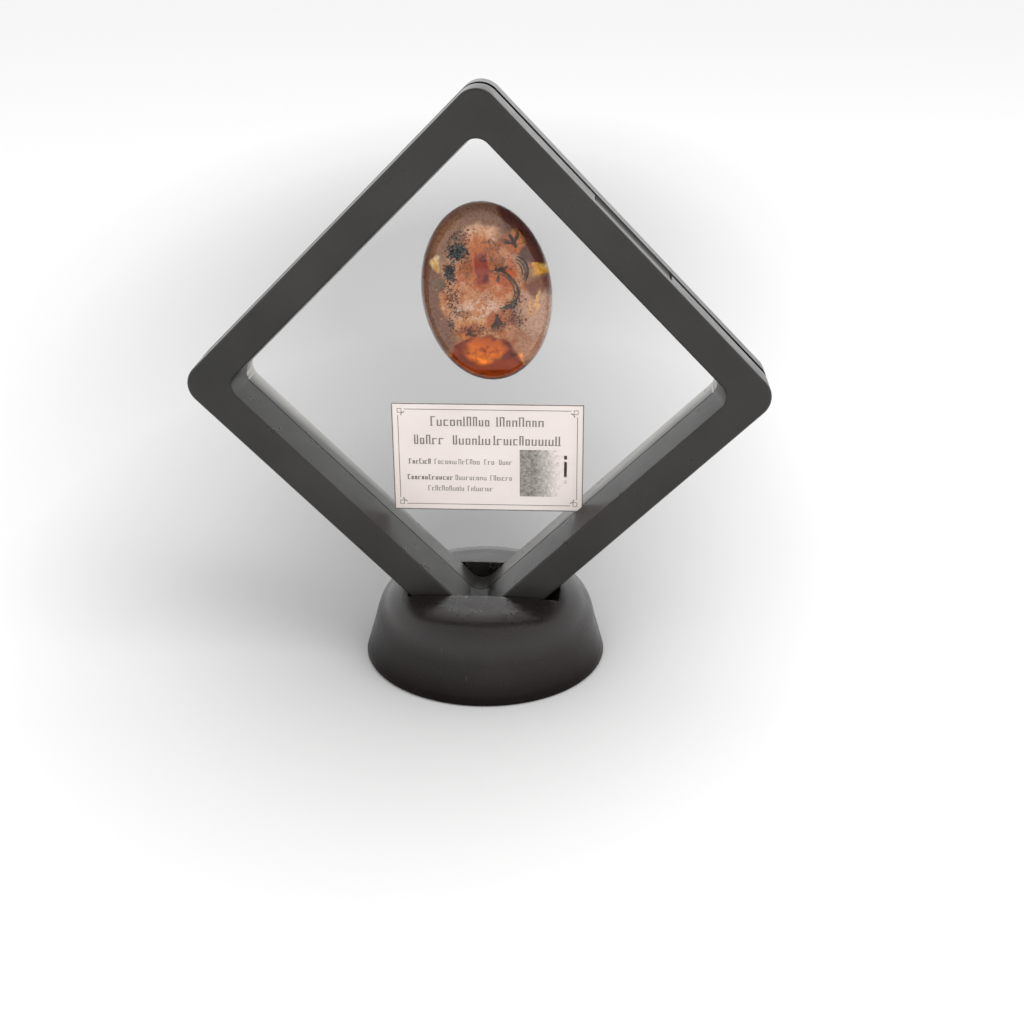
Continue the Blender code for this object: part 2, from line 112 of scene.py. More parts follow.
def new_object(name, bm, *mats):
    """Writes a bmesh into a new smooth-shaded object with its materials."""
    mesh = bpy.data.meshes.new(name)
    bm.to_mesh(mesh)
    bm.free()
    ob = bpy.data.objects.new(name, mesh)
    bpy.context.scene.collection.objects.link(ob)
    for mat in mats:
        mesh.materials.append(mat)
    mesh.shade_smooth()
    return ob


def baked(ob):
    """Applies an object's modifiers to its mesh."""
    graph = bpy.context.evaluated_depsgraph_get()
    mesh = bpy.data.meshes.new_from_object(ob.evaluated_get(graph))
    old = ob.data
    ob.modifiers.clear()
    ob.data = mesh
    bpy.data.meshes.remove(old)
    return ob


def cut(ob, cutter, operation):
    """Cuts or joins a made block, then removes it."""
    mod = ob.modifiers.new(operation.lower(), "BOOLEAN")
    mod.operation = operation
    mod.solver = "EXACT"
    mod.object = cutter
    baked(ob)
    bpy.data.objects.remove(cutter, do_unlink=True)


def close_up(bm):
    """Merges doubles and turns the faces out."""
    bmesh.ops.remove_doubles(bm, verts=bm.verts[:], dist=1e-7)
    bm.normal_update()
    bmesh.ops.recalc_face_normals(bm, faces=bm.faces[:])


def next_row(bm, edges):
    """Extrudes a row or loop of edges; gives the new vertices and the new edges between them."""
    grown = bmesh.ops.extrude_edge_only(bm, edges=edges)["geom"]
    verts = [g for g in grown if isinstance(g, bmesh.types.BMVert)]
    fresh = set(verts)
    return verts, [g for g in grown if isinstance(g, bmesh.types.BMEdge) and set(g.verts) <= fresh]


def on_corner(u, v, y):
    """A point given along the frame's sides, in the world: the frame stands on one corner."""
    return Vector(((u - v) / math.sqrt(2), y, (u + v) / math.sqrt(2) + CENTRE_Z))


# Materials

def blank_material(name):
    """A material with an empty node tree but for its output."""
    mat = bpy.data.materials.new(name)
    mat.use_nodes = True
    nodes = mat.node_tree.nodes
    nodes.clear()
    return mat, nodes, mat.node_tree.links, nodes.new("ShaderNodeOutputMaterial")


def principled(name):
    """A material with a Principled shader wired to its output."""
    mat, nodes, links, out = blank_material(name)
    shader = nodes.new("ShaderNodeBsdfPrincipled")
    links.new(shader.outputs[0], out.inputs["Surface"])
    return mat, nodes, links, shader


def see_through(nodes, links, out, share, see, skin):
    """A see-through shader with a skin laid over it by a share, wired to the output."""
    mix = nodes.new("ShaderNodeMixShader")
    if isinstance(share, float):
        mix.inputs[0].default_value = share
    else:
        links.new(share, mix.inputs[0])
    links.new(see.outputs[0], mix.inputs[1])
    links.new(skin.outputs[0], mix.inputs[2])
    links.new(mix.outputs[0], out.inputs["Surface"])


def noise_on(nodes, links, scale, detail=3.0, rough=0.5, stretch=None):
    """A noise texture on the object's own coordinates; stretch is (turn, scale) of a long pattern."""
    coords = nodes.new("ShaderNodeTexCoord")
    tex = nodes.new("ShaderNodeTexNoise")
    tex.inputs["Scale"].default_value = scale
    tex.inputs["Detail"].default_value = detail
    tex.inputs["Roughness"].default_value = rough
    if stretch is None:
        links.new(coords.outputs["Object"], tex.inputs["Vector"])
    else:
        turn = nodes.new("ShaderNodeMapping")
        turn.inputs["Rotation"].default_value = stretch[0]
        turn.inputs["Scale"].default_value = stretch[1]
        links.new(coords.outputs["Object"], turn.inputs["Vector"])
        links.new(turn.outputs[0], tex.inputs["Vector"])
    return tex


def ramp_on(nodes, links, source, stops):
    """A colour ramp on a factor: stops are (place, colour or grey)."""
    ramp = nodes.new("ShaderNodeValToRGB")
    links.new(source, ramp.inputs["Fac"])
    elements = ramp.color_ramp.elements
    while len(elements) < len(stops):
        elements.new(0.5)
    for element, (place, tone) in zip(elements, stops):
        element.position = place
        element.color = (tone, tone, tone, 1.0) if isinstance(tone, float) else (*tone, 1.0)
    return ramp


def bump_on(nodes, links, shader, height, strength, distance):
    """Feeds a height into the shader's normal."""
    bump = nodes.new("ShaderNodeBump")
    bump.inputs["Strength"].default_value = strength
    bump.inputs["Distance"].default_value = distance
    links.new(height, bump.inputs["Height"])
    links.new(bump.outputs[0], shader.inputs["Normal"])


def painted_on(nodes, name):
    """The values that a mesh holds under a name."""
    held = nodes.new("ShaderNodeAttribute")
    held.attribute_name = name
    return held


def axis_on(nodes, links, axis):
    """One of the object's own coordinates."""
    coords = nodes.new("ShaderNodeTexCoord")
    parts = nodes.new("ShaderNodeSeparateXYZ")
    links.new(coords.outputs["Object"], parts.inputs[0])
    return parts.outputs[axis]


def range_on(nodes, links, source, low, high, value_low, value_high):
    """A value that goes from one to another while its source goes from low to high."""
    span = nodes.new("ShaderNodeMapRange")
    links.new(source, span.inputs[0])
    for at, value in enumerate((low, high, value_low, value_high), 1):
        span.inputs[at].default_value = value
    return span.outputs[0]


def blend(nodes, links, share, under, tone):
    """A plain tone laid over a colour by a share."""
    mix = nodes.new("ShaderNodeMix")
    mix.data_type = "RGBA"
    links.new(share, mix.inputs["Factor"])
    links.new(under, mix.inputs[6])
    mix.inputs[7].default_value = (*tone, 1.0)
    return mix.outputs[2]


def times(nodes, links, colour, shade):
    """A colour darkened by a shade."""
    mix = nodes.new("ShaderNodeMix")
    mix.data_type = "RGBA"
    mix.blend_type = "MULTIPLY"
    mix.inputs["Factor"].default_value = 1.0
    links.new(colour, mix.inputs[6])
    links.new(shade, mix.inputs[7])
    return mix.outputs[2]


# Pale grey painted on the window's wall as a reflection.
PAINTED_REFLECTION_GREY = (0.46, 0.45, 0.42)
SCRATCH_GREY = (0.09, 0.09, 0.085)
DUST_GREY = (0.3, 0.28, 0.25)
# Black painted in the groove as its shadow.
GROOVE_SHADOW_BLACK = (0.001, 0.001, 0.001)
SCRATCH_RUN = ((0.0, math.radians(52), 0.0), (1400.0, 900.0, 42.0))


def satin_black(name, tone, rough, grain_depth, gloss):
    """Moulded satin black plastic: fine spark-eroded grain, soft wear, hair scratches and dust.

    The mesh's painted pale reflection makes it paler, and its "shade", a painted shadow, turns it black
    and takes its gloss off. Its gloss is one value, or changes with the height: (low, high, gloss at
    the low end, gloss at the high end).
    """
    mat, nodes, links, shader = principled(name)
    shader.inputs["IOR"].default_value = 1.5
    broad = noise_on(nodes, links, 45.0, 4.0)
    colour = ramp_on(nodes, links, broad.outputs["Fac"], (
        (0.3, tuple(0.7 * c for c in tone)), (0.7, tuple(1.4 * c for c in tone)),
    ))
    hairs = noise_on(nodes, links, 1.0, 2.0, 0.5, SCRATCH_RUN)
    lines = ramp_on(nodes, links, hairs.outputs["Fac"], ((0.73, 0.0), (0.79, 0.3)))
    scratched = blend(nodes, links, lines.outputs[0], colour.outputs[0], SCRATCH_GREY)
    dust = noise_on(nodes, links, 620.0, 5.0, 0.75)
    specks = ramp_on(nodes, links, dust.outputs["Fac"], ((0.745, 0.0), (0.8, 0.5)))
    dusted = blend(nodes, links, specks.outputs[0], scratched, DUST_GREY)
    # Painted reflection: a pale grey laid over the window's wall, where bright surroundings would be
    # mirrored.
    with_reflection = blend(nodes, links, painted_on(nodes, "painted_reflection").outputs["Fac"], dusted, PAINTED_REFLECTION_GREY)
    # Painted shadow: black where the mesh's "shade" says, in the groove between the halves.
    shade = painted_on(nodes, "shade").outputs["Fac"]
    links.new(blend(nodes, links, shade, with_reflection, GROOVE_SHADOW_BLACK), shader.inputs["Base Color"])
    wear = noise_on(nodes, links, 160.0, 6.0, 0.6)
    worn = ramp_on(nodes, links, wear.outputs["Fac"], ((0.3, rough[0]), (0.75, rough[1])))
    links.new(worn.outputs[0], shader.inputs["Roughness"])
    grain = noise_on(nodes, links, 2600.0, 2.0)
    bump_on(nodes, links, shader, grain.outputs["Fac"], grain_depth, 0.05 * MM)
    if isinstance(gloss, float):
        level = range_on(nodes, links, shade, 0.0, 1.0, gloss, 0.0)
    else:
        level = range_on(nodes, links, axis_on(nodes, links, "Z"), *gloss)
    links.new(level, shader.inputs["Specular IOR Level"])
    return mat


def clear_film(name):
    """Thin elastic film: see-through, with the mirror of a clear plastic skin."""
    mat, nodes, links, out = blank_material(name)
    see = nodes.new("ShaderNodeBsdfTransparent")
    see.inputs["Color"].default_value = (0.985, 0.985, 0.985, 1.0)
    shine = nodes.new("ShaderNodeBsdfGlossy")
    shine.inputs["Roughness"].default_value = 0.06
    share = nodes.new("ShaderNodeFresnel")
    share.inputs["IOR"].default_value = 1.07
    see_through(nodes, links, out, share.outputs[0], see, shine)
    ripple = noise_on(nodes, links, 90.0, 2.0)
    bump_on(nodes, links, shine, ripple.outputs["Fac"], 0.25, 0.2 * MM)
    return mat


def amber_body(name):
    """Clear amber: plain transmission with the orange of its absorption."""
    mat, nodes, links, shader = principled(name)
    shader.inputs["Base Color"].default_value = (1.0, 1.0, 1.0, 1.0)
    shader.inputs["Transmission Weight"].default_value = 1.0
    shader.inputs["Roughness"].default_value = 0.03
    shader.inputs["IOR"].default_value = 1.54
    polish = noise_on(nodes, links, 220.0, 3.0)
    bump_on(nodes, links, shader, polish.outputs["Fac"], 0.06, 0.1 * MM)
    depth = nodes.new("ShaderNodeVolumeAbsorption")
    depth.inputs["Color"].default_value = (0.91, 0.56, 0.03, 1.0)
    depth.inputs["Density"].default_value = 380.0
    links.new(depth.outputs[0], nodes["Material Output"].inputs["Volume"])
    return mat


def wing_film(name):
    """Thin insect wing: mostly see-through, faintly brown."""
    mat, nodes, links, out = blank_material(name)
    see = nodes.new("ShaderNodeBsdfTransparent")
    skin = nodes.new("ShaderNodeBsdfDiffuse")
    veined = noise_on(nodes, links, 1200.0, 2.0)
    colour = ramp_on(nodes, links, veined.outputs["Fac"], (
        (0.3, (0.1, 0.09, 0.07)), (0.7, (0.3, 0.28, 0.22)),
    ))
    links.new(colour.outputs[0], skin.inputs["Color"])
    see_through(nodes, links, out, 0.35, see, skin)
    return mat


def speckle(name, dark, pale, scale, roughness):
    """A dull broken surface with two tones."""
    mat, nodes, links, shader = principled(name)
    spots = noise_on(nodes, links, scale, 4.0)
    colour = ramp_on(nodes, links, spots.outputs["Fac"], ((0.35, dark), (0.7, pale)))
    links.new(colour.outputs[0], shader.inputs["Base Color"])
    shader.inputs["Roughness"].default_value = roughness
    bump_on(nodes, links, shader, spots.outputs["Fac"], 0.5, 0.2 * MM)
    return mat


def milky(name):
    """Clouded layer in the stone: colour and cover from its own "veil" attribute, mottled by fine noise."""
    mat, nodes, links, out = blank_material(name)
    see = nodes.new("ShaderNodeBsdfTransparent")
    cloud = nodes.new("ShaderNodeBsdfDiffuse")
    held = painted_on(nodes, "veil")
    tint = noise_on(nodes, links, 1500.0, 4.0, 0.65)
    shade = ramp_on(nodes, links, tint.outputs["Fac"], ((0.36, (0.74, 0.6, 0.5)), (0.56, (1.0, 1.0, 1.0))))
    links.new(times(nodes, links, held.outputs["Color"], shade.outputs[0]), cloud.inputs["Color"])
    spots = noise_on(nodes, links, 800.0, 6.0, 0.68)
    mask = ramp_on(nodes, links, spots.outputs["Fac"], ((0.29, 0.0), (0.38, 1.0)))
    share = nodes.new("ShaderNodeMath")
    share.operation = "MULTIPLY"
    links.new(mask.outputs[0], share.inputs[0])
    links.new(held.outputs["Alpha"], share.inputs[1])
    see_through(nodes, links, out, share.outputs[0], see, cloud)
    return mat


def deep_resin(name):
    """A darker orange layer in the stone, see-through: as deep as its "veil" attribute says."""
    mat, nodes, links, out = blank_material(name)
    see = nodes.new("ShaderNodeBsdfTransparent")
    held = painted_on(nodes, "veil")
    cloud = noise_on(nodes, links, 380.0, 5.0, 0.6)
    shade = ramp_on(nodes, links, cloud.outputs["Fac"], ((0.34, (0.34, 0.2, 0.12)), (0.5, (1.0, 1.0, 1.0))))
    tone = times(nodes, links, held.outputs["Color"], shade.outputs[0])
    mix = nodes.new("ShaderNodeMix")
    mix.data_type = "RGBA"
    links.new(held.outputs["Alpha"], mix.inputs["Factor"])
    mix.inputs[6].default_value = (1.0, 1.0, 1.0, 1.0)
    links.new(tone, mix.inputs[7])
    links.new(mix.outputs[2], see.inputs["Color"])
    links.new(see.outputs[0], out.inputs["Surface"])
    return mat


def card_paper(name):
    """Uncoated card: warm white with a faint pink cloudiness and fibre."""
    mat, nodes, links, shader = principled(name)
    broad = noise_on(nodes, links, 60.0, 3.0)
    colour = ramp_on(nodes, links, broad.outputs["Fac"], (
        (0.35, (0.7, 0.625, 0.595)), (0.65, (0.735, 0.665, 0.63)),
    ))
    links.new(colour.outputs[0], shader.inputs["Base Color"])
    shader.inputs["Roughness"].default_value = 0.75
    fibre = noise_on(nodes, links, 1800.0, 3.0, 0.6)
    bump_on(nodes, links, shader, fibre.outputs["Fac"], 0.2, 0.04 * MM)
    return mat


def printed_ink(name, tone):
    """Toner on card: dark grey-brown with paper breaking through."""
    mat, nodes, links, shader = principled(name)
    broken = noise_on(nodes, links, 2200.0, 3.0, 0.6)
    pale = tuple(min(1.0, c + 0.12) for c in tone)
    colour = ramp_on(nodes, links, broken.outputs["Fac"], ((0.35, tone), (0.75, pale)))
    links.new(colour.outputs[0], shader.inputs["Base Color"])
    shader.inputs["Roughness"].default_value = 0.6
    return mat


def grey_panel(name):
    """A small printed grey picture place: dots of toner, dark on the left and fading to the right."""
    mat, nodes, links, shader = principled(name)
    dots = noise_on(nodes, links, 1500.0, 4.0, 0.7)
    left = CARD_MIDDLE.x - CARD_W / 2 + PICTURE[0] * MM
    fade = range_on(nodes, links, axis_on(nodes, links, "X"), left + 4.0 * MM, left + 13.0 * MM, -0.1, 0.6)
    add = nodes.new("ShaderNodeMath")
    links.new(dots.outputs["Fac"], add.inputs[0])
    links.new(fade, add.inputs[1])
    colour = ramp_on(nodes, links, add.outputs[0], (
        (0.25, (0.13, 0.115, 0.1)), (0.6, (0.4, 0.37, 0.34)), (0.95, (0.74, 0.66, 0.62)),
    ))
    links.new(colour.outputs[0], shader.inputs["Base Color"])
    shader.inputs["Roughness"].default_value = 0.7
    return mat


def shadow_spot(nodes, links, middle, reach):
    """A round fall-off on the floor for its painted shadow: 1 in its middle, 0 at its reach."""
    coords = nodes.new("ShaderNodeTexCoord")
    place = nodes.new("ShaderNodeMapping")
    place.vector_type = "TEXTURE"
    place.inputs["Location"].default_value = (*middle, 0.0)
    place.inputs["Scale"].default_value = (*reach, 1.0)
    links.new(coords.outputs["Object"], place.inputs["Vector"])
    spot = nodes.new("ShaderNodeTexGradient")
    spot.gradient_type = "SPHERICAL"
    links.new(place.outputs[0], spot.inputs[0])
    return spot.outputs["Fac"]


def pale_floor(name):
    """A plain pale studio floor, with a soft shadow painted greyer round and behind where the display stands.
    """
    mat, nodes, links, shader = principled(name)
    # Painted shadow: two soft grey spots where the display's shadow falls, a wide one reaching back and a
    # near one round the stand.
    wide = shadow_spot(nodes, links, (-0.05, 0.42), (0.27, 0.66))
    near = shadow_spot(nodes, links, (-0.01, 0.06), (0.15, 0.26))
    wide_shadow = ramp_on(nodes, links, wide, ((0.0, 0.0), (0.3, 0.1), (0.8, 0.4)))
    near_shadow = ramp_on(nodes, links, near, ((0.0, 0.0), (0.4, 0.12), (0.9, 0.35)))
    painted_shadow = nodes.new("ShaderNodeMath")
    painted_shadow.operation = "ADD"
    links.new(wide_shadow.outputs[0], painted_shadow.inputs[0])
    links.new(near_shadow.outputs[0], painted_shadow.inputs[1])
    colour = ramp_on(nodes, links, painted_shadow.outputs[0], ((0.0, 0.86), (0.86, 0.0)))
    links.new(colour.outputs[0], shader.inputs["Base Color"])
    shader.inputs["Roughness"].default_value = 0.7
    shader.inputs["Specular IOR Level"].default_value = 0.2
    return mat


# The frame

def set_loop(verts, place, half, radius, y):
    """Moves a loop's vertices onto a square with round corners that stands on its corner."""
    for vert in verts:
        quarter, step = divmod(vert[place], CORNER_STEPS + 1)
        turn = quarter * math.pi / 2
        angle = turn + step / CORNER_STEPS * math.pi / 2
        middle = Vector((half - radius, half - radius)) @ Matrix.Rotation(-turn, 2)
        vert.co = on_corner(middle.x + radius * math.cos(angle), middle.y + radius * math.sin(angle), y)


def ring_half(name, sections, mat, shadow_rows, reflection_rows=0):
    """A square ring: one loop extruded from section to section, all round and back to its start.

    Its last rows before the start, as many as the first count, hold "shade", a painted shadow; its
    first rows, as many as the second count, hold a painted pale reflection.
    """
    bm = bmesh.new()
    place = bm.verts.layers.int.new("place")
    painted_reflection = bm.verts.layers.float.new("painted_reflection")
    shade = bm.verts.layers.float.new("shade")
    count = 4 * (CORNER_STEPS + 1)
    verts = bmesh.ops.create_circle(bm, segments=count, radius=1.0)["verts"]
    for vert in verts:
        vert[place] = round(math.atan2(vert.co.y, vert.co.x) / math.tau * count) % count
    edges = bm.edges[:]
    set_loop(verts, place, *sections[0])
    # The painted reflection fades out towards the window's bottom corner, which lies in shade.
    fade_from = CENTRE_Z - WINDOW_FILM_HALF * math.sqrt(2)
    for vert in verts:
        vert[painted_reflection] = min(1.0, max(0.0, (vert.co.z - fade_from) / PAINTED_REFLECTION_FADE)) if reflection_rows else 0.0
    for row, section in enumerate(sections[1:] + sections[:1], 1):
        verts, edges = next_row(bm, edges)
        set_loop(verts, place, *section)
        for vert in verts:
            # The painted reflection stays only on the first rows, and the painted shadow goes on the last
            # rows, in the groove.
            vert[painted_reflection] *= 1.0 if row < reflection_rows or row == len(sections) else 0.0
            vert[shade] = 1.0 if len(sections) - shadow_rows <= row < len(sections) else 0.0
    close_up(bm)
    ob = new_object(name, bm, mat)
    ob.data.set_sharp_from_angle(angle=math.radians(30))
    return ob


def rounding(half, y, reach, deep, base_r, turn_in, steps=5):
    """Sections of a rounded edge: from the wall at y + deep to the face at y."""
    rows = []
    for i in range(steps + 1):
        angle = i / steps * math.pi / 2
        step_in = turn_in * reach * (1 - math.cos(angle))
        rows.append((half + step_in, base_r + step_in * 0.5, y + deep * (1 - math.sin(angle))))
    return rows


def side_block(name, u_range, v_half, y_range, soft):
    """A block on the upper right side, with softened edges."""
    bm = bmesh.new()
    # The block holds no painted reflection and no painted shadow.
    for name_held in ("painted_reflection", "shade"):
        bm.verts.layers.float.new(name_held)
    bmesh.ops.create_cube(bm, size=1.0)
    size = Vector((u_range[1] - u_range[0], 2 * v_half, y_range[1] - y_range[0]))
    bmesh.ops.scale(bm, vec=size, verts=bm.verts[:])
    bmesh.ops.bevel(
        bm, geom=bm.edges[:], offset=soft, offset_type="OFFSET", affect="EDGES", segments=4,
        profile=0.5, material=-1,
    )
    middle = Vector((sum(u_range) / 2, 0.0, sum(y_range) / 2))
    for vert in bm.verts:
        u, v, y = vert.co
        vert.co = on_corner(middle.x + u, v, middle.z + y)
    close_up(bm)
    return new_object(name, bm)


def frame_front(mat):
    """The front half, with its drafted window, seat, groove and tab notch."""
    groove_half = FRAME_HALF - GROOVE_DEPTH
    groove_r = CORNER_R - GROOVE_DEPTH
    seat_y = CARD_Y - SEAT_CLEAR
    window = rounding(WINDOW_FRONT_HALF, FRONT_Y, WINDOW_ROUND, WINDOW_ROUND, WINDOW_CORNER_R, 1)
    outside = rounding(FRAME_HALF, FRONT_Y, EDGE_ROUND, EDGE_ROUND, CORNER_R, -1)
    sections = [(WINDOW_FILM_HALF, WINDOW_CORNER_R, seat_y)] + window + outside[::-1] + [
        (FRAME_HALF, CORNER_R, GROOVE_Y - LIP),
        (FRAME_HALF - LIP, CORNER_R, GROOVE_Y),
        (groove_half, groove_r, GROOVE_Y),
        (groove_half, groove_r, PARTING_Y - PARTING_GAP),
        (SEAT_HALF, WINDOW_CORNER_R, PARTING_Y - PARTING_GAP),
        (SEAT_HALF, WINDOW_CORNER_R, seat_y),
    ]
    # The groove's rows get painted shadow.
    ob = ring_half("frame_front_half", sections, mat, shadow_rows=5)
    notch_u = (FRAME_HALF - TAB_DEPTH, FRAME_HALF + TAB_DEPTH)
    notch_y = (TAB_FRONT_Y, PARTING_Y + TAB_DEPTH)
    cut(ob, side_block("tab_notch", notch_u, TAB_LENGTH / 2, notch_y, TAB_CLEAR), "DIFFERENCE")
    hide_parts("frame_front")
    return ob


def frame_back(mat):
    """The back half, with the finger tab on its upper right side."""
    seat_y = CARD_Y + SEAT_CLEAR
    window = rounding(WINDOW_FILM_HALF, BACK_Y, WINDOW_ROUND, -WINDOW_ROUND, WINDOW_CORNER_R, 1)
    outside = rounding(FRAME_HALF, BACK_Y, EDGE_ROUND, -EDGE_ROUND, CORNER_R, -1)
    sections = [(WINDOW_FILM_HALF, WINDOW_CORNER_R, seat_y)] + window + outside[::-1] + [
        (FRAME_HALF, CORNER_R, PARTING_Y + LIP),
        (FRAME_HALF - LIP, CORNER_R, PARTING_Y),
        (SEAT_HALF, WINDOW_CORNER_R, PARTING_Y),
        (SEAT_HALF, WINDOW_CORNER_R, seat_y),
    ]
    # The back half's face in the groove gets painted shadow, and its window wall a painted pale reflection.
    ob = ring_half("frame_back_half", sections, mat, shadow_rows=3, reflection_rows=2)
    tab_u = (FRAME_HALF - TAB_DEPTH + TAB_CLEAR, FRAME_HALF - TAB_SINK)
    tab_y = (TAB_FRONT_Y + TAB_CLEAR, PARTING_Y + TAB_ROOT)
    cut(ob, side_block("finger_tab", tab_u, TAB_LENGTH / 2 - TAB_CLEAR, tab_y, TAB_SOFT), "UNION")
    keep_painted_reflection_inside(ob)
    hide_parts("frame_back")
    return ob


def keep_painted_reflection_inside(ob):
    """Takes the painted pale reflection off the outer walls and the tab, so that only the window's wall is
    pale.
    """
    for vert, held in zip(ob.data.vertices, ob.data.attributes["painted_reflection"].data):
        if abs(vert.co.x) + abs(vert.co.z - CENTRE_Z) > math.sqrt(2) * SEAT_HALF:
            held.value = 0.0


# The stand

# The shoulder's curve: radius and height of its ends and of its two handles, in mm
SHOULDER = ((19.0, 20.9), (28.2, 20.85), (29.6, 15.6), (30.9, 9.7))
CROWN_ROWS, SHOULDER_ROWS, FOOT_ROWS = 10, 22, 4
STAND_TURNS = 144
FOOT_ROUND = 0.9 * MM
SLOT_SOFT = 0.35 * MM
STAND_TOP_R = 19.0 * MM
STAND_TOP_H = 20.9 * MM
STAND_CROWN = 0.7 * MM
STAND_GLOSS = (2.0 * MM, 21.0 * MM, 0.05, 0.55)
SLOT_FLOOR_Z = 3.6 * MM
SLOT_FLOOR_HALF = 3.8 * MM
SLOT_Y_HALF = 10.7 * MM
SLOT_OVERRUN = 4.0 * MM


def stand_body(mat):
    """The turned base: one profile spun round, with the slot cut and its rim softened."""
    profile = [(0.0, STAND_TOP_H + STAND_CROWN)]
    for i in range(1, CROWN_ROWS + 1):
        share = i / CROWN_ROWS
        profile.append((STAND_TOP_R * share, STAND_TOP_H + STAND_CROWN * (1 - share * share)))
    for i in range(1, SHOULDER_ROWS + 1):
        t = i / SHOULDER_ROWS
        weights = ((1 - t) ** 3, 3 * t * (1 - t) ** 2, 3 * t * t * (1 - t), t ** 3)
        profile.append(tuple(sum(w * spot[k] for w, spot in zip(weights, SHOULDER)) * MM for k in range(2)))
    side_r, side_h = profile[-1]
    for i in range(1, FOOT_ROWS + 1):
        share = i / FOOT_ROWS
        profile.append((
            side_r + (STAND_R - side_r) * share, side_h + (FOOT_ROUND - side_h) * share,
        ))
    for i in range(1, FOOT_ROWS + 1):
        angle = i / FOOT_ROWS * math.pi / 2
        profile.append((
            STAND_R - FOOT_ROUND * (1 - math.cos(angle)), FOOT_ROUND * (1 - math.sin(angle)),
        ))
    profile.append((0.0, 0.0))
    bm = bmesh.new()
    row = [bm.verts.new((STAND_X + r, 0.0, z)) for r, z in profile]
    chain = [bm.edges.new(pair) for pair in zip(row, row[1:])]
    bmesh.ops.spin(
        bm, geom=row + chain, cent=(STAND_X, 0.0, 0.0), axis=(0.0, 0.0, 1.0), angle=math.tau,
        steps=STAND_TURNS, use_merge=True,
    )
    close_up(bm)
    ob = new_object("stand_body", bm, mat)
    cut(ob, slot_block(), "DIFFERENCE")
    soften = ob.modifiers.new("soften", "BEVEL")
    soften.limit_method = "ANGLE"
    soften.angle_limit = math.radians(50)
    soften.width = SLOT_SOFT
    soften.segments = 3
    baked(ob)
    ob.data.shade_smooth()
    ob.data.set_sharp_from_angle(angle=math.radians(60))
    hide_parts("stand")
    return ob


def slot_block():
    """The slot as a block: wide at the top, its ends at 45 degrees."""
    bm = bmesh.new()
    bmesh.ops.create_cube(bm, size=1.0)
    top_z = STAND_TOP_H + SLOT_OVERRUN
    for vert in bm.verts:
        half = SLOT_FLOOR_HALF + (top_z - SLOT_FLOOR_Z if vert.co.z > 0 else 0.0)
        vert.co = Vector((
            STAND_X + math.copysign(half, vert.co.x), math.copysign(SLOT_Y_HALF, vert.co.y),
            top_z if vert.co.z > 0 else SLOT_FLOOR_Z,
        ))
    close_up(bm)
    return new_object("slot_block", bm)


# The stone and the films

def stone_frame(x, z):
    """A point's place across and along the leaning stone."""
    dx, dz = x - STONE_MIDDLE.x, z - STONE_MIDDLE.z
    return (
        dx * math.cos(STONE_LEAN) + dz * math.sin(STONE_LEAN),
        dz * math.cos(STONE_LEAN) - dx * math.sin(STONE_LEAN),
    )


def stone_point(across, depth, along):
    """A point given across, into and along the stone, in the world."""
    return Vector((
        STONE_MIDDLE.x + across * math.cos(STONE_LEAN) - along * math.sin(STONE_LEAN),
        STONE_MIDDLE.y + depth,
        STONE_MIDDLE.z + along * math.cos(STONE_LEAN) + across * math.sin(STONE_LEAN),
    ))


def dome(share):
    """Height of the stone's dome, as a share of its full height."""
    return np.sqrt(np.clip(1 - np.asarray(share, dtype=float) ** DOME_POWER, 0, 1))


def amber_stone(mat):
    """The whole stone as one clear piece, with the slight waver of a hand polish."""
    bm = bmesh.new()
    bmesh.ops.create_uvsphere(bm, u_segments=128, v_segments=72, radius=1.0)
    bmesh.ops.rotate(bm, verts=bm.verts[:], matrix=Matrix.Rotation(math.pi / 2, 3, "X"))
    for vert in bm.verts:
        share = min(1.0, math.hypot(vert.co.x, vert.co.z))
        height = DOME_FRONT if vert.co.y < 0 else DOME_BACK
        waver = 1 + STONE_WAVER * noise.noise(vert.co * 2.3)
        depth = math.copysign(height * float(dome(share)) * waver, vert.co.y)
        vert.co = stone_point(vert.co.x * STONE_SHORT, depth, vert.co.z * STONE_LONG)
    close_up(bm)
    ob = new_object("amber_stone", bm, mat)
    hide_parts("amber_front", "amber_back")
    return ob


FILM_CELLS = 150
FILM_REST = 0.12 * MM
FILM_T = 0.04 * MM
FILM_CLEAR = 0.05 * MM
FILM_REACH = SEAT_HALF - 0.5 * MM
FILM_ROUNDS = 3500


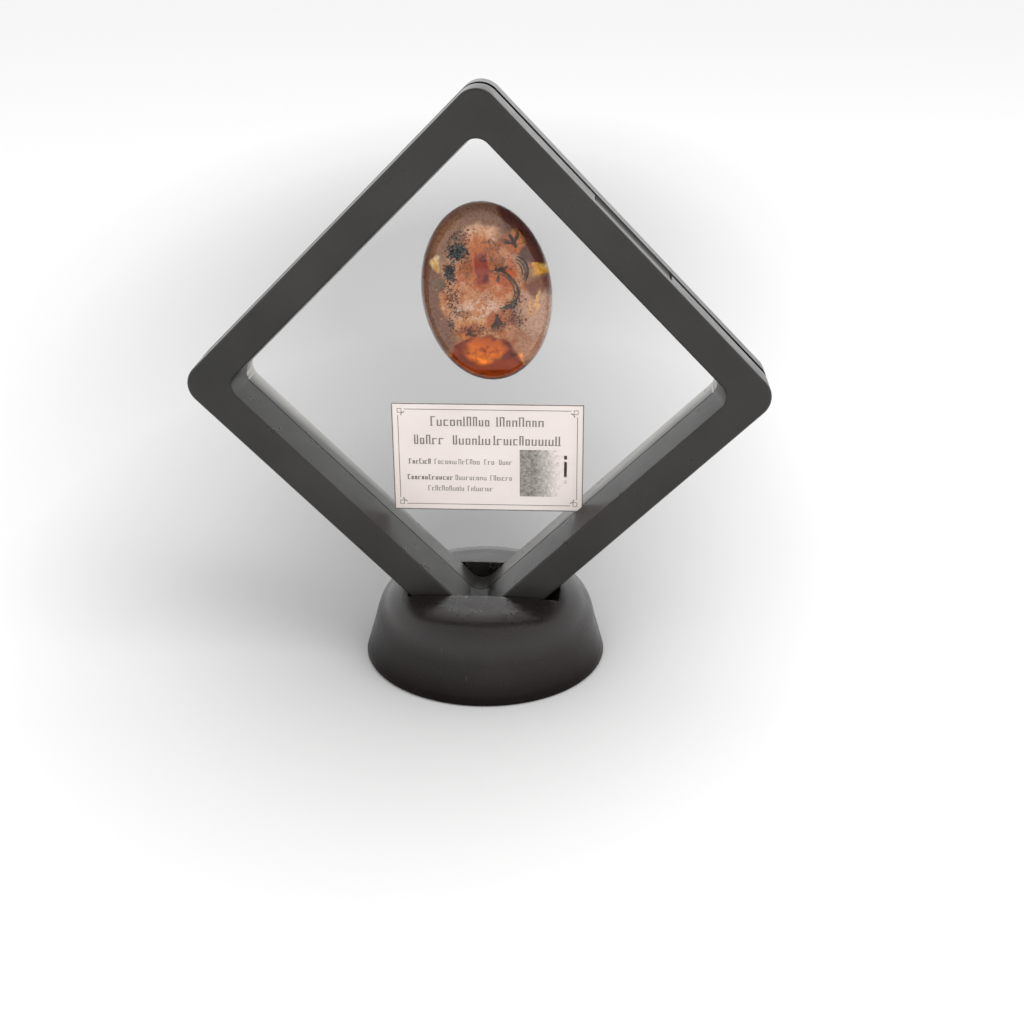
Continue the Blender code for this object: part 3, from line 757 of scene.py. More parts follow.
def stretched(side, line):
    """Heights of a film pushed out of its plane by the stone and the card, on a square grid."""
    u, v = np.meshgrid(line, line, indexing="ij")
    x = (u - v) / math.sqrt(2)
    z = (u + v) / math.sqrt(2) + CENTRE_Z
    across, along = stone_frame(x, z)
    share = np.sqrt((across / STONE_SHORT) ** 2 + (along / STONE_LONG) ** 2)
    height = DOME_FRONT if side < 0 else DOME_BACK
    raised = FILM_CLEAR - FILM_REST
    over_stone = np.where(share < 1, height * (1 + STONE_WAVER) * dome(share) + raised, 0.0)
    dx, dz = x - CARD_MIDDLE.x, z - CARD_MIDDLE.z
    card_u = dx * math.cos(CARD_TILT) + dz * math.sin(CARD_TILT)
    card_v = dz * math.cos(CARD_TILT) - dx * math.sin(CARD_TILT)
    past = 0.2 * MM
    on_card = (abs(card_u) < CARD_W / 2 + past) & (abs(card_v) < CARD_H / 2 + past)
    over_card = np.where(on_card, CARD_T / 2 + raised, 0.0)
    held_up = np.maximum(over_stone, over_card).clip(0)
    held_up[np.maximum(abs(u), abs(v)) > WINDOW_FILM_HALF] = 0.0
    inside = (np.maximum(abs(u), abs(v)) < WINDOW_FILM_HALF)[1:-1, 1:-1]
    high = held_up.copy()
    for _ in range(FILM_ROUNDS):
        mean = (high[:-2, 1:-1] + high[2:, 1:-1] + high[1:-1, :-2] + high[1:-1, 2:]) / 4
        high[1:-1, 1:-1] = np.where(inside, np.maximum(mean, held_up[1:-1, 1:-1]), 0.0)
    return high


def film(name, side, mat, node):
    """One clear film: a fine sheet stretched over the stone and the card."""
    high = stretched(side, np.linspace(-FILM_REACH, FILM_REACH, FILM_CELLS + 1))
    bm = bmesh.new()
    bmesh.ops.create_grid(bm, x_segments=FILM_CELLS, y_segments=FILM_CELLS, size=FILM_REACH)
    for vert in bm.verts:
        i = round((vert.co.x + FILM_REACH) / (2 * FILM_REACH) * FILM_CELLS)
        j = round((vert.co.y + FILM_REACH) / (2 * FILM_REACH) * FILM_CELLS)
        vert.co = on_corner(vert.co.x, vert.co.y, CARD_Y + side * (FILM_REST + float(high[i, j])))
    bm.normal_update()
    bmesh.ops.solidify(bm, geom=bm.faces[:], thickness=FILM_T)
    close_up(bm)
    ob = new_object(name, bm, mat)
    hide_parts(node)
    return ob


# The insects

# Each insect: place of its thorax in X and Z and its length in mm, heading and spread of its wings
INSECTS = (
    ("insect_upper", (8.2, 115.7), 3.8, -62.0, 38.0),
    ("insect_middle", (4.6, 96.2), 4.4, 96.0, 15.0),
    ("insect_lower", (-2.4, 92.5), 2.8, 212.0, 30.0),
)
# Paths and outlines on an insect, as shares of its length or of a wing's
LEG_POINTS = (
    ((0.12, 0.02, 0.05), (0.2, -0.02, 0.16), (0.28, 0.1, 0.3), (0.37, 0.15, 0.39), (0.42, 0.16, 0.46)),
    ((0.0, 0.02, 0.05), (-0.01, -0.02, 0.17), (-0.03, 0.1, 0.31), (-0.04, 0.15, 0.4), (-0.05, 0.16, 0.46)),
    ((-0.1, 0.02, 0.05), (-0.2, -0.02, 0.16), (-0.31, 0.1, 0.29), (-0.39, 0.15, 0.38), (-0.44, 0.16, 0.45)),
)
FEELER_POINTS = ((0.31, -0.04, 0.03), (0.4, -0.06, 0.07), (0.48, -0.07, 0.13), (0.54, -0.07, 0.2))
WING_EDGE = (
    (0.0, 0.02), (0.2, 0.09), (0.45, 0.16), (0.7, 0.19), (0.88, 0.16), (0.98, 0.08), (1.0, 0.0),
    (0.9, -0.07), (0.7, -0.1), (0.45, -0.1), (0.2, -0.06), (0.0, -0.02),
)
WING_PAIRS = ((0, 0.8), (1, 0.6))
BACK_PAIR_SPREAD = math.radians(16)
VEINS = (
    ((0.0, 0.01), (0.3, 0.1), (0.65, 0.16), (0.95, 0.11)),
    ((0.0, 0.0), (0.35, 0.03), (0.7, 0.06), (0.98, 0.03)),
    ((0.0, 0.0), (0.3, -0.02), (0.6, -0.03), (0.88, -0.06)),
    ((0.35, 0.03), (0.42, 0.08), (0.5, 0.14)),
    ((0.6, -0.03), (0.66, 0.02), (0.72, 0.06)),
    ((0.0, -0.01), (0.2, -0.05), (0.4, -0.09)),
)


def ball(bm, middle, size, segments=20, rings=12):
    """An oval ball of the body, longest along X."""
    made = bmesh.ops.create_uvsphere(bm, u_segments=segments, v_segments=rings, radius=1.0)["verts"]
    bmesh.ops.rotate(bm, verts=made, matrix=Matrix.Rotation(math.pi / 2, 3, "Y"))
    bmesh.ops.scale(bm, vec=size, verts=made)
    bmesh.ops.translate(bm, verts=made, vec=middle)


def tube(bm, points, radius, tip_share=0.45, sides=6):
    """A thin limb along a path: a circle extruded from point to point, closed at both ends."""
    points = [Vector(point) for point in points]
    last = len(points) - 1
    verts = bmesh.ops.create_circle(bm, segments=sides, radius=radius)["verts"]
    edges = list({edge for vert in verts for edge in vert.link_edges})
    bmesh.ops.edgeloop_fill(bm, edges=edges)
    here = Matrix()
    for i, point in enumerate(points):
        if i > 0:
            verts, edges = next_row(bm, edges)
        ahead = (points[min(i + 1, last)] - points[max(i - 1, 0)]).normalized()
        turn = ahead.to_track_quat("Z", "Y").to_matrix().to_4x4()
        thin = Matrix.Scale(1 - (1 - tip_share) * i / last, 4)
        there = Matrix.Translation(point) @ turn @ thin
        bmesh.ops.transform(bm, matrix=there @ here.inverted(), verts=verts)
        here = there
    bmesh.ops.edgeloop_fill(bm, edges=edges)


def insect_body(unit):
    """Head, eyes, ribbed thorax, ringed abdomen, six legs and two feelers."""
    bm = bmesh.new()
    ball(bm, (0.0, 0.0, 0.0), (0.19 * unit, 0.14 * unit, 0.145 * unit))
    ball(bm, (0.1 * unit, -0.02 * unit, 0.0), (0.08 * unit, 0.1 * unit, 0.115 * unit), 16, 10)
    ball(bm, (0.27 * unit, -0.02 * unit, 0.0), (0.095 * unit, 0.1 * unit, 0.11 * unit), 16, 10)
    for side in (-1, 1):
        eye = (0.29 * unit, -0.03 * unit, side * 0.075 * unit)
        ball(bm, eye, (0.055 * unit, 0.065 * unit, 0.045 * unit), 12, 8)
    for i in range(6):
        share = i / 5
        size = 0.125 - 0.05 * share ** 2
        middle = (-(0.17 + 0.36 * share) * unit, 0.01 * unit, 0.0)
        ball(bm, middle, (0.062 * unit, size * 0.95 * unit, size * unit), 16, 10)
    for side in (-1, 1):
        for path in LEG_POINTS:
            points = [(x * unit, y * unit, side * z * unit) for x, y, z in path]
            tube(bm, points, 0.019 * unit)
        tube(bm, [(x * unit, y * unit, side * z * unit) for x, y, z in FEELER_POINTS], 0.012 * unit)
    return bm


def wings(unit, opening):
    """Side, length and place of each of the four wings."""
    for side in (-1, 1):
        for back, size in WING_PAIRS:
            root = Vector(((0.08 - 0.07 * back) * unit, -0.08 * unit, side * 0.06 * unit))
            spread = Matrix.Rotation(side * (opening + BACK_PAIR_SPREAD * back), 4, "Y")
            tilt = Matrix.Rotation(side * math.radians(8), 4, "X")
            yield side, size * unit, Matrix.Translation(root) @ spread @ tilt


def insect_wings(unit, opening):
    """Two pairs of thin wings, cupped a little."""
    bm = bmesh.new()
    for side, length, place in wings(unit, opening):
        rim = [bm.verts.new((-a * length, 0.0, side * b * length)) for a, b in WING_EDGE]
        edges = [bm.edges.new(pair) for pair in zip(rim, rim[1:] + rim[:1])]
        skin = bmesh.ops.edgeloop_fill(bm, edges=edges)["faces"]
        cup = bmesh.ops.poke(bm, faces=skin)["verts"]
        bmesh.ops.translate(bm, verts=cup, vec=(0.0, -0.02 * length, 0.0))
        bmesh.ops.transform(bm, matrix=place, verts=rim + cup)
    bmesh.ops.solidify(bm, geom=bm.faces[:], thickness=0.006 * unit)
    return bm


def insect_veins(unit, opening):
    """The veins of both pairs of wings."""
    bm = bmesh.new()
    for side, length, place in wings(unit, opening):
        for path in VEINS + (WING_EDGE,):
            points = [place @ Vector((-a * length, -0.004 * length, side * b * length)) for a, b in path]
            tube(bm, points, 0.007 * unit, 0.6, 4)
    return bm


def insects(body_mat, wing_mat, vein_mat):
    """The three insects, each where its hollow in the stone lies."""
    made = []
    for name, (x, z), length, heading, opening in INSECTS:
        where = Matrix.Translation((x * MM, CARD_Y, z * MM)) @ Matrix.Rotation(-math.radians(heading), 4, "Y")
        unit = length * MM
        wide = math.radians(opening)
        sets = (
            ("body", insect_body(unit), body_mat), ("wings", insect_wings(unit, wide), wing_mat),
            ("veins", insect_veins(unit, wide), vein_mat),
        )
        for part, bm, mat in sets:
            bmesh.ops.transform(bm, matrix=where, verts=bm.verts[:])
            bm.normal_update()
            bmesh.ops.recalc_face_normals(bm, faces=bm.faces[:])
            ob = new_object(f"{name}_{part}", bm, mat)
            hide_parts(name)
            made.append((ob, "insect_brown"))
    return made


# Bits and layers inside the stone

def under_front(across, along, deep):
    """A point under the stone's front, at a share of the dome's height there; across and along in mm."""
    share = math.hypot(across * MM / STONE_SHORT, along * MM / STONE_LONG)
    return stone_point(across * MM, -deep * DOME_FRONT * float(dome(share)), along * MM)


CRUMB_REACH = 0.8
CRUMB_DEPTHS = (0.94, 0.97)
CRUMB_BATCH = 40


def crumbs(name, mat, seed, groups):
    """Clusters of crumbs: (across, along, reach across, reach along, how many, size), in mm.

    They are made in small batches, because the operators slow down on a large mesh.
    """
    draw = random.Random(seed)
    whole = bmesh.new()
    for across, along, reach_a, reach_b, count, size in groups:
        bm = bmesh.new()
        for i in range(count):
            a = across + reach_a * draw.gauss(0, 0.45)
            b = along + reach_b * draw.gauss(0, 0.45)
            deep = draw.uniform(*CRUMB_DEPTHS)
            scale = size * draw.uniform(0.4, 1.4) * MM
            squash = (draw.uniform(0.5, 1.3), draw.uniform(0.3, 0.8), draw.uniform(0.5, 1.3))
            angle = draw.uniform(0, math.pi)
            turn = Matrix.Rotation(angle, 3, (draw.random(), draw.random(), draw.random() + 0.1))
            if math.hypot(a * MM / STONE_SHORT, b * MM / STONE_LONG) < CRUMB_REACH:
                made = bmesh.ops.create_icosphere(bm, subdivisions=1, radius=scale)["verts"]
                bmesh.ops.scale(bm, vec=squash, verts=made)
                bmesh.ops.rotate(bm, verts=made, matrix=turn)
                bmesh.ops.translate(bm, verts=made, vec=under_front(a, b, deep))
            if i % CRUMB_BATCH == CRUMB_BATCH - 1 or i == count - 1:
                batch = bpy.data.meshes.new("batch")
                bm.to_mesh(batch)
                whole.from_mesh(batch)
                bpy.data.meshes.remove(batch)
                bm.clear()
        bm.free()
    ob = new_object(name, whole, mat)
    ob.data.shade_flat()
    return ob


def rounded_path(path, steps=6):
    """Points of a smooth curve through a path's points."""
    points = []
    last = len(path) - 1
    for i in range(last):
        before, start, end, after = (path[max(0, min(last, i + k))] for k in (-1, 0, 1, 2))
        for step in range(steps):
            t = step / steps
            points.append(tuple(0.5 * (
                2 * start[k] + (end[k] - before[k]) * t
                + (2 * before[k] - 5 * start[k] + 4 * end[k] - after[k]) * t * t
                + (3 * start[k] - before[k] - 3 * end[k] + after[k]) * t ** 3
            ) for k in range(2)))
    points.append(path[-1])
    return points


RIBBON_ROW = (-1.0, -0.5, 0.0, 0.5, 1.0)


def ribbon(name, mat, path, width, deep, seed, thick=0.1):
    """A torn band inside the stone: a short row of edges extruded along a path, in mm."""
    draw = random.Random(seed)
    points = rounded_path(path)
    bm = bmesh.new()
    place = bm.verts.layers.int.new("place")
    verts = [bm.verts.new() for _ in RIBBON_ROW]
    for number, vert in enumerate(verts):
        vert[place] = number
    edges = [bm.edges.new(pair) for pair in zip(verts, verts[1:])]
    for i, (across, along) in enumerate(points):
        if i > 0:
            verts, edges = next_row(bm, edges)
        near, far = points[max(0, i - 1)], points[min(len(points) - 1, i + 1)]
        ahead = Vector((far[0] - near[0], far[1] - near[1])).normalized()
        swell = math.sin(math.pi * (i + 0.6) / (len(points) + 0.2)) ** 0.5
        wide = width * swell / 2
        for vert in sorted(verts, key=lambda held: held[place]):
            share = RIBBON_ROW[vert[place]]
            out = wide * share * (1 + (0.35 * draw.uniform(-1, 1) if abs(share) == 1 else 0))
            at = deep + 0.02 * draw.uniform(-1, 1) * (1 - abs(share)) + 0.03 * share
            vert.co = under_front(across - ahead.y * out, along + ahead.x * out, at)
    bmesh.ops.reverse_faces(bm, faces=bm.faces[:])
    bm.normal_update()
    bmesh.ops.solidify(bm, geom=bm.faces[:], thickness=thick * MM)
    close_up(bm)
    return new_object(name, bm, mat)


def smooth(low, high, value):
    """A soft step from 0 at low to 1 at high."""
    share = min(1.0, max(0.0, (value - low) / (high - low)))
    return share * share * (3 - 2 * share)


LAYER_REACH = 0.997
LAYER_CELLS = 130


def layer(name, mat, deep, painted):
    """A curved sheet inside the stone's front, painted with a colour and a cover at every place."""
    bm = bmesh.new()
    bmesh.ops.create_grid(bm, x_segments=LAYER_CELLS, y_segments=LAYER_CELLS, size=1.0)
    held = bm.verts.layers.float_color.new("veil")
    for vert in bm.verts:
        x, z = vert.co.x, vert.co.y
        share = LAYER_REACH * math.sin(max(abs(x), abs(z)) * math.pi / 2)
        length = math.hypot(x, z)
        if length > 0:
            x, z = x / length * share, z / length * share
        across, along = x * STONE_SHORT / MM, z * STONE_LONG / MM
        vert.co = under_front(across, along, deep)
        vert.co.y += 0.05 * MM * noise.noise(Vector((across, along, 0.0)) * 0.26) * (1 - share)
        vert[held] = painted(across, along)
    bm.normal_update()
    return new_object(name, bm, mat)


# The veil's colours and covers, and its patches, each over the ones before: middle, reach, turn in
# degrees, colour, cover. Places are (across, along) in mm from the stone's middle.
RIM = (0.33, 0.2, 0.16, 0.96)
DUSK = (0.16, 0.062, 0.055, 0.95)
FOOT = (0.3, 0.17, 0.11, 0.9)
PATCHES = (
    ((0.5, 17.5), (12.0, 7.5), 0, (0.36, 0.21, 0.15), 0.96),
    ((-13.5, 4.0), (4.6, 12.0), 0, (0.29, 0.155, 0.12), 0.96),
    ((-7.5, 15.0), (6.0, 6.0), 0, (0.4, 0.23, 0.15), 0.92),
    ((0.3, 1.0), (13.6, 18.2), 0, (0.93, 0.56, 0.34), 0.85),
    ((0.4, 15.8), (6.4, 3.6), 0, (0.96, 0.7, 0.52), 0.95),
    ((0.4, 9.0), (6.5, 8.0), 0, (0.86, 0.34, 0.08), 0.5),
    ((-8.5, 1.5), (3.8, 8.4), 0, (1.0, 0.66, 0.42), 0.85),
    ((-2.4, -3.2), (8.0, 4.6), 0, (1.0, 0.86, 0.8), 0.98),
    ((-3.0, -7.6), (7.8, 3.8), 0, (1.0, 0.66, 0.34), 0.85),
    ((12.8, -6.0), (7.0, 9.5), 12, (0.76, 0.56, 0.48), 0.95),
    ((8.0, -14.5), (6.5, 5.0), 0, (0.62, 0.38, 0.29), 0.9),
    ((6.2, 4.6), (3.2, 3.6), 0, (0.95, 0.4, 0.08), 0.3),
    ((13.4, 8.6), (4.2, 3.4), 0, (0.62, 0.3, 0.16), 0.8),
    ((13.4, 1.2), (3.2, 3.2), 0, (0.3, 0.12, 0.1), 0.9),
    ((-11.4, 9.6), (1.8, 2.6), 0, (1.0, 0.86, 0.5), 0.95),
    ((-11.6, 4.3), (2.0, 2.4), 0, (0.2, 0.21, 0.17), 0.9),
    ((15.4, 5.9), (4.2, 2.7), 0, (1.0, 0.6, 0.08), 0.9),
    ((16.0, 6.6), (2.6, 0.8), 20, (1.0, 0.82, 0.3), 0.95),
    ((13.2, -2.6), (0.8, 4.4), -6, (1.0, 0.72, 0.36), 0.95),
    ((11.2, -3.4), (0.6, 3.4), 8, (0.98, 0.68, 0.36), 0.95),
)
BLOTCHES = ((0.42, 0.5), (0.95, 0.3), (2.1, 0.2))
BLOTCH_TINT = (0.16, 0.5, 0.72)
# Clear places in the veil: before each insect, the block (left, right, foot, top) and the cap
INSECT_VIEWS = ((8.5, 13.1), (2.4, -6.1), (-5.3, -8.6))
INSECT_VIEW_REACH = (3.5, 3.5)
BLOCK = (-2.2, 2.1, 3.1, 12.6)
CAP_TOP = (-1.0, -9.7)
CAP_FALL = (0.03, 0.07)
CAP_SIDES = (-10.4, 5.2)
CAP_SLOPE_FROM = -11.0
CAP_SLOPE = 0.4


def spot(across, along, middle, reach, turn=0):
    """1 in the middle of an oval spot, 0 at its edge."""
    da, db = across - middle[0], along - middle[1]
    c, s = math.cos(math.radians(turn)), math.sin(math.radians(turn))
    away = math.hypot((da * c + db * s) / reach[0], (db * c - da * s) / reach[1])
    return smooth(1.0, 0.55, away)


def wavy(across, along, scale, depth):
    """A place moved a little by noise, so that patches have uneven edges."""
    at = Vector((across, along, 3.0)) * scale
    return across + depth * noise.noise(at), along + depth * noise.noise(at + Vector((9.0, 4.0, 7.0)))


def clear_block(across, along):
    """The clear block in the veil's middle."""
    left, right, foot, top = BLOCK
    return (
        smooth(left, left + 0.6, across) * smooth(right, right - 0.5, across)
        * smooth(foot, foot + 0.6, along) * smooth(top, top - 1.8, along)
    )


def clear_cap(across, along):
    """The clear cap at the foot, under a shallow arch."""
    past_top = across - CAP_TOP[0]
    arch = CAP_TOP[1] - CAP_FALL[1] * max(0.0, past_top) ** 2 - CAP_FALL[0] * max(0.0, -past_top) ** 2
    wider = CAP_SLOPE * max(0.0, CAP_SLOPE_FROM - along)
    left, right = CAP_SIDES[0] - wider, CAP_SIDES[1] + wider
    sides = smooth(right, right - 1.4, across) * smooth(left, left + 1.4, across)
    return smooth(arch + 0.5, arch - 0.3, along) * sides


def veil_paint(across, along):
    """Colour and cover of the milky veil at a place."""
    a, b = wavy(across, along, 0.35, 1.3)
    a, b = wavy(a, b, 1.1, 0.5)
    found = Vector(RIM)
    for middle, reach, turn, tone, cover in PATCHES:
        found = found.lerp(Vector((*tone, cover)), spot(a, b, middle, reach, turn))
    blotch = sum(
        weight * noise.noise(Vector((across, along, 5.0)) * scale) for scale, weight in BLOTCHES
    )
    inner = smooth(1.0, 0.8, math.hypot((across - 0.3) / 13.0, (along - 0.6) / 18.0))
    inner *= 1 - 0.75 * spot(across, along, (12.6, -6.0), (7.0, 9.0))
    share = smooth(0.0, 0.2, blotch) * inner
    tinted = [tone * (1 - tint * share) for tone, tint in zip(found, BLOTCH_TINT)]
    found = Vector((*tinted, found[3]))
    upper = smooth(7.9, 9.3, across + 0.35 * (along - 12.5))
    upper *= smooth(7.4, 8.6, along + 0.35 * (across - 11.0))
    found = found.lerp(Vector(DUSK), upper)
    found = found.lerp(Vector(FOOT), smooth(-19.5, -22.5, along))
    cover = found[3] * (1 - clear_block(a, b)) * (1 - clear_cap(a, b))
    for at in INSECT_VIEWS:
        cover *= 1 - 0.97 * spot(a, b, at, INSECT_VIEW_REACH)
    return found[0], found[1], found[2], cover


# Colours and depths of the orange under the veil
UNDER_VEIL = (0.75, 0.3, 0.04, 0.0)
BESIDE_BLOCK = (0.9, 0.42, 0.05, 0.8)
ROUND_INSECT = (0.9, 0.5, 0.1, 0.4)
IN_BLOCK = (0.62, 0.22, 0.02, 1.0)
CAP_EDGE = (0.24, 0.07, 0.005, 1.0)
CAP_MIDDLE = (1.0, 0.72, 0.09, 1.0)


def resin_paint(across, along):
    """Colour and depth of the orange: in the block, the cap and round the upper insect."""
    a, b = wavy(across, along, 0.5, 1.0)
    found = Vector(UNDER_VEIL)
    found = found.lerp(Vector(BESIDE_BLOCK), spot(a, b, (5.8, 5.0), (3.4, 4.0)))
    found = found.lerp(Vector(ROUND_INSECT), spot(a, b, (8.5, 13.0), (4.0, 4.0)))
    found = found.lerp(Vector(IN_BLOCK), clear_block(a, b))
    cap = Vector(CAP_EDGE).lerp(Vector(CAP_MIDDLE), spot(a, b, (-1.6, -13.4), (6.2, 5.0)))
    return tuple(found.lerp(cap, clear_cap(across, along)))


def inclusions():
    """Everything that is sealed in the stone besides the insects."""
    dark = speckle("char", (0.002, 0.003, 0.003), (0.02, 0.028, 0.025), 1100.0, 0.6)
    rust = speckle("rust", (0.1, 0.022, 0.006), (0.44, 0.12, 0.02), 1100.0, 0.7)
    olive = speckle("olive", (0.02, 0.02, 0.014), (0.16, 0.14, 0.09), 1300.0, 0.6)
    straw = speckle("straw", (0.8, 0.36, 0.02), (1.0, 0.7, 0.12), 500.0, 0.5)
    return [
        layer("deep_resin", deep_resin("deep_resin"), 0.78, resin_paint),
        layer("milky_veil", milky("milky_veil"), 0.935, veil_paint),
        crumbs("char_crumbs", dark, 11, (
            (-5.6, 12.3, 2.7, 2.3, 420, 0.3), (-8.2, 7.4, 1.8, 2.7, 230, 0.28),
            (6.4, -2.6, 2.6, 1.7, 130, 0.22), (-5.6, -3.8, 1.8, 1.6, 34, 0.2),
            (-9.4, -6.0, 1.2, 2.6, 40, 0.22), (5.0, 7.0, 2.6, 0.8, 70, 0.22),
            (8.6, 0.6, 0.9, 3.4, 60, 0.22), (-6.2, 16.0, 2.6, 1.6, 60, 0.2),
        )),
        crumbs("rust_crumbs", rust, 12, (
            (-4.6, 16.2, 4.4, 2.8, 170, 0.2), (-8.4, 1.0, 2.6, 6.0, 300, 0.22),
            (-5.5, -8.0, 4.8, 1.9, 210, 0.2), (3.2, 12.6, 3.2, 3.0, 150, 0.2),
            (6.8, -6.0, 3.0, 2.8, 220, 0.22), (0.5, -8.4, 5.4, 2.0, 120, 0.18),
            (0.0, 1.4, 6.0, 1.8, 80, 0.15), (4.6, 9.0, 2.6, 2.0, 100, 0.2),
            (-3.6, 8.0, 2.2, 4.6, 120, 0.2), (0.0, -2.0, 15.0, 19.0, 360, 0.13),
        )),
        ribbon("crescent", dark, (
            (2.0, 6.9), (3.8, 7.0), (5.6, 6.3), (7.2, 4.6), (8.4, 2.4), (8.5, 0.0), (7.4, -1.6),
        ), 0.6, 0.955, 21),
        ribbon("crescent_inner", olive, (
            (3.0, 6.2), (4.6, 6.0), (6.3, 4.8), (7.4, 2.8), (7.7, 0.6), (6.9, -1.0),
        ), 0.35, 0.955, 31),
        ribbon("crescent_tail", olive, ((7.6, -0.8), (6.4, -2.2), (4.2, -2.8)), 0.7, 0.955, 22),
        ribbon("grey_strip", dark, (
            (9.2, 9.8), (10.7, 8.6), (11.5, 6.8), (11.4, 5.0), (10.7, 3.2),
        ), 0.55, 0.955, 23),
        ribbon("grey_strip_middle", olive, (
            (8.8, 9.2), (10.1, 8.1), (10.8, 6.6), (10.8, 5.0), (10.3, 3.8),
        ), 0.5, 0.955, 32),
        ribbon("grey_strip_inner", dark, ((8.9, 8.4), (9.7, 7.4), (10.1, 6.2), (10.1, 4.9)), 0.35, 0.955, 33),
        ribbon("yellow_flaw", straw, ((12.6, 7.4), (13.9, 6.4), (15.2, 5.2)), 1.3, 0.95, 24, 0.05),
        ribbon("pale_streak", straw, ((-12.2, 10.8), (-11.5, 9.4), (-11.5, 7.8)), 0.6, 0.95, 30, 0.05),
        ribbon("dark_bar", dark, ((4.1, 5.7), (4.0, 4.8), (3.9, 4.0)), 0.8, 0.94, 28),
    ]


# The print on the card

def bar(bm, left, top, wide, high):
    """One flat mark of ink, given from the card's top left corner in mm."""
    middle_x = (left + wide / 2) * MM - CARD_W / 2
    middle_z = CARD_H / 2 - (top + high / 2) * MM
    made = bmesh.ops.create_grid(bm, x_segments=1, y_segments=1, size=0.5)["verts"]
    bmesh.ops.scale(bm, vec=(wide * MM, high * MM, 1.0), verts=made)
    bmesh.ops.rotate(bm, verts=made, matrix=Matrix.Rotation(math.pi / 2, 3, "X"))
    bmesh.ops.translate(bm, verts=made, vec=(middle_x, 0.0, middle_z))


GLYPHS = ("stem", "arch", "cup", "ring", "hook", "half")
TALL_GLYPHS = ("stem", "arch", "half")


def glyph(bm, kind, left, foot, wide, high, weight):
    """One generic mark: a stem or two with a link over or under them."""
    top = foot - high
    bar(bm, left, top, weight, high)
    if kind in ("arch", "cup", "ring"):
        bar(bm, left + wide - weight, top, weight, high)
    link = wide - weight * (1 if kind in ("hook", "half") else 2)
    if kind in ("arch", "ring", "hook", "half"):
        bar(bm, left + weight, top, link, 0.7 * weight)
    if kind in ("cup", "ring", "half"):
        bar(bm, left + weight, foot - 0.7 * weight, link, 0.7 * weight)
    if kind in ("stem", "hook"):
        bar(bm, left - 0.5 * weight, foot - 0.5 * weight, 2 * weight, 0.5 * weight)


def words(bm, draw, middle, high, spans, weight):
    """A line of word-like marks that spell nothing."""
    for start, end in spans:
        x = start
        foot = middle + high / 2
        while x < end - 0.3 * high:
            kind = draw.choice(GLYPHS)
            wide = high * (0.16 if kind == "stem" else draw.uniform(0.42, 0.52))
            rises = x == start or (kind in TALL_GLYPHS and draw.random() < 0.45)
            glyph(bm, kind, x, foot, wide, high if rises else 0.66 * high, weight)
            x += wide + 0.17 * high


def corner_mark(bm, at_x, at_z, turn):
    """A small square in a corner of the border, with a quarter ring round it."""
    sx, sz = turn
    side, line = 1.25, 0.18
    for across, down, wide, high in (
        (0.0, 0.0, side, line), (0.0, side - line, side, line),
        (0.0, 0.0, line, side), (side - line, 0.0, line, side),
    ):
        left = at_x + (across if sx > 0 else -across - wide)
        top = at_z + (down if sz > 0 else -down - high)
        bar(bm, left, top, wide, high)
    dots, dot = 6, 0.28
    for k in range(dots):
        angle = (k + 0.5) / dots * math.pi / 2
        x = at_x + sx * (2.0 - math.cos(angle))
        z = at_z + sz * (2.0 - math.sin(angle))
        bar(bm, x - dot / 2, z - dot / 2, dot, dot)


INK_PROUD = 0.006 * MM
# Lines of words: middle, height, spans and weight, in mm from the card's top left corner
WORD_LINES = (
    (5.0, 2.7, ((10.5, 26.1), (28.2, 41.1)), 0.4),
    (10.3, 2.7, ((5.9, 15.1), (16.4, 26.1), (27.4, 45.7)), 0.4),
    (16.6, 1.5, ((4.3, 10.2),), 0.32),
    (16.6, 1.5, ((11.3, 17.0), (17.8, 24.0), (24.8, 28.0), (28.8, 32.2)), 0.22),
    (21.2, 1.5, ((3.8, 15.9),), 0.32),
    (21.2, 1.5, ((16.9, 25.6), (26.4, 32.8)), 0.22),
    (24.4, 1.5, ((9.4, 19.1), (20.2, 27.7)), 0.22),
)


def card_print(ink, panel):
    """Border, word-like marks and picture place on the front of the card."""
    draw = random.Random(5)
    width, height = CARD_W / MM, CARD_H / MM
    edge, line, inset, stop = 0.3, 0.2, 1.6, 3.4
    bm = bmesh.new()
    for left, top, wide, high in (
        (0, 0, width, edge), (0, height - edge, width, edge),
        (0, edge, edge, height - 2 * edge), (width - edge, edge, edge, height - 2 * edge),
        (stop, inset, width - 2 * stop, line), (stop, height - inset - line, width - 2 * stop, line),
        (inset, stop, line, height - 2 * stop), (width - inset - line, stop, line, height - 2 * stop),
    ):
        bar(bm, left, top, wide, high)
    corner = 1.5
    for sx, sz in ((1, 1), (-1, 1), (1, -1), (-1, -1)):
        at_x = corner if sx > 0 else width - corner
        at_z = corner if sz > 0 else height - corner
        corner_mark(bm, at_x, at_z, (sx, sz))
    for line_of_words in WORD_LINES:
        words(bm, draw, *line_of_words)
    for top, high in ((14.4, 1.1), (16.2, 4.6), (21.5, 1.1)):
        bar(bm, 46.4, top, 0.8, high)
    place_on_card(bm)
    marks = new_object("card_print", bm, ink)
    bm = bmesh.new()
    bar(bm, *PICTURE)
    place_on_card(bm)
    picture = new_object("card_picture", bm, panel)
    return [marks, picture]


def place_on_card(bm):
    """Turns and moves flat marks onto the card's front."""
    bmesh.ops.rotate(bm, verts=bm.verts[:], matrix=Matrix.Rotation(-CARD_TILT, 3, "Y"))
    front = Vector((CARD_MIDDLE.x, CARD_LOW.y - INK_PROUD, CARD_MIDDLE.z))
    bmesh.ops.translate(bm, verts=bm.verts[:], vec=front)
    bm.normal_update()


# Camera, floor and lights

